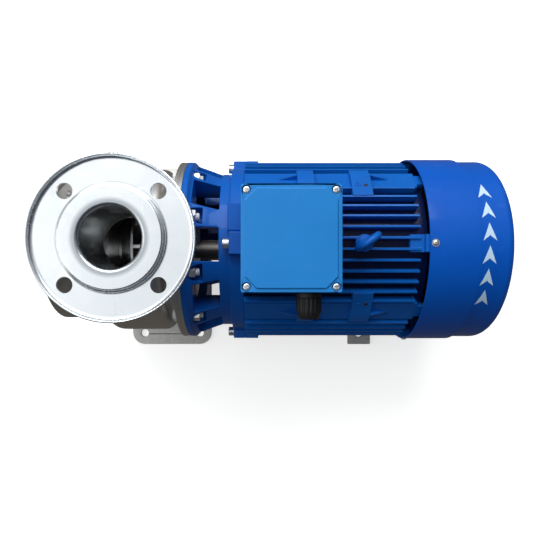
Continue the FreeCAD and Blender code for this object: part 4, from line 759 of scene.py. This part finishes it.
def hex_screw(name, length):
    """A hexagon screw that points down, its head's seat at height 0."""
    shank = [ring(frame_screw_radius, -length), ring(frame_screw_radius, 0.0)]
    return skin(name, shank + hex_head_rings(frame_screw_flat, 0.0, frame_screw_head))


rear_screws = set_round("rear_shield_screws_plated", hex_screw("rear_screw", length=0.014), zinc,
                        count=4, along=0.498, circle=0.115, first=45, step=90,
                        tilt=towards_fan, spin=60)
fit(rear_screws, "pump_body", "zinc_steel", "rear_shield_bolts")


# The fan is moulded in black plastic and clipped on the shaft. Its cover is drawn from sheet steel,
# pierced at the back and sprayed in a deeper, smoother blue; four cross-head screws hold it.
black_plastic = Finish("black_plastic", Specular_IOR_Level=0.4)
pitted = black_plastic.grain(0.0008, detail=3.0)
black_plastic.set("Base Color", black_plastic.grain(0.02).between((0.008, 0.008, 0.009), (0.02, 0.02, 0.022)))
black_plastic.set("Roughness", 0.35 + pitted * 0.25)
black_plastic.relief(pitted, depth=0.00003)
cooling_fan = refined("cooling_fan_moulded", "cooling_fan", black_plastic, edge=0.0004)
fit(cooling_fan, "shaft_assembly", "black_plastic", "cooling_fan")

cover_enamel = enamel("blue_enamel_on_sheet", deep=(0.001, 0.086, 0.49), light=(0.001, 0.112, 0.58),
                      casting=0.00004)
fan_cover = refined("fan_cover_drawn", "fan_cover", cover_enamel, edge=0.0004, rounds=1, angle=45)
fit(fan_cover, "pump_body", "blue_cover", "fan_cover")


def cross_reach(length, half):
    """Distance from the middle of a cross-shaped recess to its side at a turn."""
    def out(x, y, turn):
        return min(x / max(abs(math.cos(turn)), 1e-6), y / max(abs(math.sin(turn)), 1e-6))

    def reach(turn):
        return max(out(length, half, turn), out(half, length, turn))
    return reach


def cross_screw(name, head_radius, head_height, shank_radius, shank_length, washer_radius=0.0):
    """A domed cross-head screw that points down, its head's seat at height 0."""
    sides = 40
    arm = head_radius * 0.58
    half = head_radius * 0.14
    washer = 0.0006
    start = [ring(shank_radius, -shank_length, sides), ring(shank_radius, 0.0, sides)]
    if washer_radius:
        start += [ring(washer_radius, 0.0, sides), ring(washer_radius, washer, sides)]
    dome = [(1.0, washer / head_height if washer_radius else 0.0), (1.0, 0.3), (0.93, 0.62), (0.8, 0.85),
            (0.66, 0.96)]
    rings = start + [ring(head_radius * part, head_height * level, sides) for part, level in dome]
    rings += [ring(cross_reach(arm, half * 1.15), head_height, sides),
              ring(cross_reach(arm * 0.94, half), head_height * 0.93, sides),
              ring(cross_reach(arm * 0.45, half * 0.8), head_height * 0.25, sides)]
    return skin(name, rings)


cover_screw = cross_screw("cover_screw", head_radius=0.0036, head_height=0.0026, shank_radius=0.0024,
                          shank_length=0.010, washer_radius=0.0048)
cover_screws = set_round("cover_screws_plated", cover_screw, zinc, count=4, along=0.501,
                         circle=0.1307, step=90, spin=80)
fit(cover_screws, "pump_body", "zinc_steel", "fan_cover_screws")


# Small things on the frame's four top pads: a cast web runs out from each, and the rear two carry
# a raised boss ring and a black plug in place of a drilled hole's dark inside, as painted shade.
pad_ridge = Vector((0.0, 0.091, 0.092))
pad_inside = Vector((0.0, 0.062, 0.112))
web_foot = pad_ridge * 0.925
corner_outside = Vector((0.0, 0.0958, 0.0738))
pad_lean = math.atan2(pad_inside.z - pad_ridge.z, pad_ridge.y - pad_inside.y)
web_length = 0.032
web_starts = {0.335: -1, 0.430: 1}
web_round = 0.0004


def pad_web(start, way, side):
    """A web that falls away from a pad's ridge to the flat corner."""
    far = start + way * web_length
    places = [(start, pad_ridge), (start, web_foot), (start, corner_outside), (far, web_foot),
              (far, web_foot.lerp(corner_outside, 0.45))]
    work = bmesh.new()
    ridge, low, high, low_far, high_far = [work.verts.new((x, side * at.y, at.z)) for x, at in places]
    for face in ((ridge, low, high), (low, low_far, high_far, high), (ridge, low_far, low),
                 (ridge, high, high_far), (ridge, high_far, low_far)):
        work.faces.new(face)
    bmesh.ops.recalc_face_normals(work, faces=work.faces)
    return new_piece("pad_web", mesh_of(work, "pad_web"), frame_enamel)


def on_rear_pads(name, mesh, finish, x, y):
    """A mesh stood on the sloping faces of both rear pads."""
    pair = []
    height = pad_inside.z - (y - pad_inside.y) * math.tan(pad_lean)
    for side in (-1, 1):
        piece = new_piece(name, mesh.copy(), finish)
        piece.data.transform(Matrix.Translation((x, side * y, height))
                             @ Matrix.Rotation(-side * pad_lean, 4, "X"))
        pair.append(piece)
    return joined(name, pair)


pad_webs = joined("pad_webs_cast", [pad_web(start, way, side) for side in (-1, 1)
                                    for start, way in web_starts.items()])
soften_edges(pad_webs, web_round)
fit(pad_webs, "pump_body", "blue_enamel")

sunk = -0.0006
boss_rings = collar_rings(inner=0.0024, outer=0.0037, low=sunk, high=0.0007, edge=0.0002)
boss_ring = skin("boss_ring", boss_rings, bored=True)
pad_bosses = on_rear_pads("pad_boss_rings", boss_ring, frame_enamel, x=0.412, y=0.0776)
fit(pad_bosses, "pump_body", "blue_enamel")

# The black plug is painted shade: it stands in for the dark of the open hole.
plug_profile = [(0.0024, sunk), (0.0024, 0.0002), (0.0020, 0.0005), (0.0006, 0.0006)]
shade_plug = skin("shade_plug", [ring(radius, height) for radius, height in plug_profile], sharp=60)
pad_shade_plugs = on_rear_pads("pad_hole_plugs", shade_plug, black_plastic, x=0.422, y=0.0760)
fit(pad_shade_plugs, "pump_body", "black_plastic")


# Six vinyl arrowheads on the cover show which way the shaft turns. Each is cut from pale film and
# follows the curve of the sheet.
vinyl = Finish("pale_vinyl", Roughness=0.4)
vinyl_wear = vinyl.grain(0.003, detail=5.0)
vinyl.set("Base Color", vinyl_wear.between((0.50, 0.70, 0.90), (0.66, 0.84, 0.98)))
vinyl.relief(vinyl_wear, depth=0.00001)

arrow_circle = 0.1277
arrow_length = 0.0225
arrow_half = 0.0085
arrow_notch = 0.0065
arrow_film = 0.0002
arrow_steps = 12
film = bmesh.new()
for side in (-1, 1):
    rows_of_points = []
    for step in range(arrow_steps + 1):
        run = arrow_length * step / arrow_steps
        reach = run - arrow_length / 2
        outer = arrow_half * (1 - run / arrow_length)
        inner = max(0.0, arrow_half * (1 - run / arrow_notch)) if step else arrow_half
        points = [(side * across, arrow_circle * math.sin(reach / arrow_circle),
                   arrow_circle * (math.cos(reach / arrow_circle) - 1))
                  for across in (min(inner, outer), outer)]
        rows_of_points.append([film.verts.new(point) for point in points])
    for low, high in zip(rows_of_points, rows_of_points[1:]):
        film.faces.new((low[0], low[1], high[1], high[0]))
bmesh.ops.remove_doubles(film, verts=film.verts, dist=1e-6)
bmesh.ops.recalc_face_normals(film, faces=film.faces)
if sum(face.normal.z for face in film.faces) < 0:
    bmesh.ops.reverse_faces(film, faces=film.faces)
arrow = new_piece("arrow", mesh_of(film, "arrow"))
thickness = arrow.modifiers.new("film", "SOLIDIFY")
thickness.thickness = arrow_film
thickness.offset = 1
plain_mesh(arrow)
arrow_mesh = arrow.data
bpy.data.objects.remove(arrow)
arrows = set_round("turning_arrows", arrow_mesh, vinyl, count=6, along=0.569, circle=arrow_circle,
                   first=-32, step=12.8)
fit(arrows, "pump_body", "blue_cover")


# The terminal box stands on the frame: a cast base, a rubber gasket and a cast lid with a raised
# panel, held by four cross-head screws in sunk seats. Board, studs and nuts are inside.
# The box's enamel is a lighter copy of the frame's blue: painted light, for a box whose top faces the bright
# overhead room.
box_enamel_painted_lighter = enamel("blue_enamel_on_box_painted_lighter", deep=(0.014, 0.213, 0.60), light=(0.022, 0.256, 0.68),
                    casting=0.00006)
box_base = refined("terminal_box_base_cast", "terminal_box_base", box_enamel_painted_lighter, edge=0.0008)
fit(box_base, "pump_body", "blue_enamel", "terminal_box_base")
box_lid = refined("terminal_box_lid_cast", "terminal_box_lid", box_enamel_painted_lighter, edge=0.0009, rounds=3)
fit(box_lid, "pump_body", "blue_enamel", "terminal_box_lid")

grid_tree = bpy.data.node_groups.new("pieces_at_four_corners", "GeometryNodeTree")
sizes = given_inputs(grid_tree, {"Middle": "Vector", "Span x": "Float", "Span y": "Float",
                                 "Loose spin": "Float", "Finish": "Material"})
layout = Wire(grid_tree)
four = layout.add("GeometryNodeMeshGrid", {}, {"Size X": sizes["Span x"], "Size Y": sizes["Span y"],
                                               "Vertices X": 2, "Vertices Y": 2})
moved = layout.add("GeometryNodeTransform", {}, {0: four, "Translation": sizes["Middle"]})
spin = layout.add("FunctionNodeRandomValue", {"data_type": "FLOAT"},
                  {2: 0.0, 3: sizes["Loose spin"], "Seed": 3}, 1)
twist = layout.add("FunctionNodeAxisAngleToRotation", {}, {"Axis": (0, 0, 1), "Angle": spin})
closed_by(grid_tree, moved, sizes["Geometry"], twist, sizes["Finish"])

lid_low, lid_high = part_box("lid_screws")
lid_head_radius = 0.0046
lid_head_height = 0.0025
lid_span = [lid_high[axis] - lid_low[axis] - 2 * lid_head_radius for axis in (0, 1)]
lid_seat = ((lid_low[0] + lid_high[0]) / 2, 0.0, lid_high[2] - lid_head_height)
lid_screw = cross_screw("lid_screw", lid_head_radius, lid_head_height, shank_radius=0.0024,
                        shank_length=0.012)
lid_screws = laid_out(new_piece("lid_screws_plated", lid_screw), grid_tree, {
    "Middle": lid_seat, "Span x": lid_span[0], "Span y": lid_span[1],
    "Loose spin": math.radians(80), "Finish": zinc.material})
fit(lid_screws, "pump_body", "zinc_steel", "lid_screws")


# The cable gland: a moulded black body screwed into the box's side, and a cap nut with grip ribs
# that squeezes a rubber seal.
gland_low, gland_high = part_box("gland_nut")
gland_middle = (gland_low + gland_high) / 2
gland_length = gland_high[1] - gland_low[1]
gland_radius = 0.0142
gland_tip = 0.011
gland_bore = 0.0081
rib_count = 18
rib_height = 0.0006


def ribbed(radius):
    """Reach of the cap nut's side, with grip ribs round it."""
    return lambda turn: radius + rib_height * math.cos(rib_count * turn)


cap_edge = 0.0006
cap_mouth = 0.0008
ribs_start, ribs_end = 0.0008, 0.0165
cap_shoulder = 0.0178
tip_start = gland_length - 0.002
cap_profile = [(gland_bore, 0.0), (gland_radius - cap_edge, 0.0), (ribbed(gland_radius), ribs_start),
               (ribbed(gland_radius), ribs_end), (gland_radius - cap_edge, cap_shoulder),
               (gland_tip + 2 * cap_edge, tip_start), (gland_tip, gland_length - cap_edge),
               (gland_tip - cap_edge, gland_length), (gland_bore + cap_mouth, gland_length),
               (gland_bore, gland_length - cap_mouth)]
cap_rings = [ring(radius, height, sides=144) for radius, height in cap_profile]
cap_mesh = skin("gland_cap", cap_rings, sharp=40, bored=True)
gland_cap = new_piece("gland_cap_ribbed", cap_mesh, black_plastic)
gland_cap.data.transform(Matrix.Translation((gland_middle.x, gland_high[1], gland_middle.z))
                         @ Matrix.Rotation(math.pi / 2, 4, "X"))
fit(gland_cap, "pump_body", "black_plastic", "gland_nut")
gland_body = refined("gland_body_moulded", "cable_gland", black_plastic, edge=0.0005)
fit(gland_body, "pump_body", "black_plastic", "cable_gland")


# The lifting eye, a forged ring screwed into the frame's boss and painted with the motor.
lifting_eye = refined("lifting_eye_forged", "lifting_eye", cast_enamel, edge=0.0004)
fit(lifting_eye, "pump_body", "blue_enamel", "lifting_eye")


# The feet. The pump stands on a bent and welded plate, the motor on two bent feet bolted to its
# frame; all are dull hot-dip galvanised steel.
galvanised = Finish("galvanised_steel", Metallic=1.0)
spangle = galvanised.wire.add("ShaderNodeTexVoronoi", {},
                              {"Vector": galvanised.place, "Scale": 110.0}, "Color")
spangle_tone = spangle.parts()[0]
rust = galvanised.grain(0.03, detail=6.0).clamped(0.62, 0.8)
plate_colour = spangle_tone.between((0.60, 0.59, 0.56), (0.74, 0.73, 0.69))
galvanised.set("Base Color", (rust * 0.5).between(plate_colour, (0.34, 0.25, 0.15)))
galvanised.set("Roughness", 0.52 + spangle_tone * 0.12 + rust * 0.15)
galvanised.relief(galvanised.grain(0.004, detail=4.0), depth=0.00005)
pump_foot = refined("pump_foot_welded", "pump_foot", galvanised, edge=0.0007)
fit(pump_foot, "pump_body", "galvanised_steel", "pump_foot")
for side in ("left", "right"):
    foot = refined(f"motor_foot_{side}_bent", f"motor_foot_{side}", galvanised, edge=0.0008)
    fit(foot, "pump_body", "galvanised_steel", f"motor_foot_{side}")

foot_screws = set_round("motor_foot_screws_plated", hex_screw("foot_screw", length=0.02), zinc,
                        count=4, along=0.4535, circle=0.133, first=135, step=90,
                        rows=2, row_step=0.015, spin=60)
fit(foot_screws, "pump_body", "zinc_steel", "motor_foot_bolts")


# What the openings show and what stays hidden: rotating parts, bearings, seal, core and windings
# keep the shapes of their solids and get the finish of their own metal, rubber or ceramic.
# The shaft's steel is coloured far darker than bright steel: painted shade, for the shaft seen in the dark
# inside the lantern.
dark_painted_shaft_steel = Finish("shaft_steel_in_painted_shade", Metallic=1.0)
shaft_rings = dark_painted_shaft_steel.round_grain(*shaft_line, size=0.0008)
shaft_patches = dark_painted_shaft_steel.grain(0.02, detail=4.0)
dark_painted_shaft_steel.set("Base Color", shaft_patches.between((0.16, 0.15, 0.14), (0.30, 0.29, 0.28)))
dark_painted_shaft_steel.set("Roughness", 0.35 + shaft_rings * 0.2)

bearing_steel = Finish("ground_bearing_steel", Metallic=1.0)
ground = bearing_steel.round_grain(*shaft_line, size=0.0002)
bearing_steel.set("Base Color", ground.between((0.70, 0.71, 0.73), (0.80, 0.81, 0.83)))
bearing_steel.set("Roughness", 0.08 + ground * 0.12)

core_sheet = Finish("stacked_core_sheet", Metallic=0.8)
sheets = core_sheet.grain(0.0005, detail=1.0, stretch=(1, 90, 90))
core_sheet.set("Base Color", sheets.between((0.10, 0.10, 0.11), (0.30, 0.31, 0.33)))
core_sheet.set("Roughness", 0.4 + sheets * 0.3)
core_sheet.relief(sheets, depth=0.0001)

copper = Finish("varnished_copper", Metallic=1.0, Coat_Weight=0.6, Coat_Roughness=0.2)
wires = copper.grain(0.0011, detail=2.0, stretch=(12, 1, 1))
copper.set("Base Color", wires.between((0.42, 0.13, 0.04), (0.80, 0.36, 0.15)))
copper.set("Roughness", 0.25 + wires * 0.2)
copper.relief(wires, depth=0.0004)

aluminium = Finish("cast_aluminium", Metallic=1.0)
castings = aluminium.grain(0.0015, detail=5.0)
aluminium.set("Base Color", castings.between((0.60, 0.61, 0.62), (0.76, 0.77, 0.78)))
aluminium.set("Roughness", 0.35 + castings * 0.3)
aluminium.relief(castings, depth=0.00008)

brass = Finish("turned_brass", Metallic=1.0)
brass_tone = brass.grain(0.004, detail=4.0)
brass.set("Base Color", brass_tone.between((0.66, 0.44, 0.15), (0.84, 0.62, 0.28)))
brass.set("Roughness", 0.18 + brass_tone * 0.2)

rubber = Finish("black_rubber", Specular_IOR_Level=0.3)
bloom = rubber.grain(0.003, detail=5.0)
rubber.set("Base Color", bloom.between((0.010, 0.010, 0.010), (0.035, 0.035, 0.036)))
rubber.set("Roughness", 0.6 + bloom * 0.3)
rubber.relief(bloom, depth=0.00004)

ceramic = Finish("seal_ceramic", Coat_Weight=0.3)
specks = ceramic.grain(0.0006, detail=3.0)
ceramic.set("Base Color", specks.between((0.74, 0.72, 0.66), (0.88, 0.87, 0.83)))
ceramic.set("Roughness", 0.15 + specks * 0.2)

kept_parts = {
    turned_stainless: ["wear_ring", "impeller", "impeller_key", "impeller_nut", "seal_head",
                       "seal_spring"],
    dark_painted_shaft_steel: ["shaft"],
    bearing_steel: ["front_bearing_outer_ring", "front_bearing_inner_ring", "front_bearing_balls",
                    "rear_bearing_outer_ring", "rear_bearing_inner_ring", "rear_bearing_balls",
                    "wave_spring"],
    core_sheet: ["stator_core", "rotor_core"],
    copper: ["stator_windings"],
    aluminium: ["rotor_cage"],
    brass: ["front_bearing_cage", "rear_bearing_cage", "terminal_studs", "terminal_nuts"],
    black_plastic: ["terminal_board", "gland_locknut"],
    rubber: ["casing_o_ring", "splash_ring", "lid_gasket", "gland_seal"],
    ceramic: ["seal_seat"],
    zinc: ["fan_clip", "earth_screw"],
}
for finish, names in kept_parts.items():
    for name in names:
        for place in nodes[name].material_slots:
            place.material = finish.material
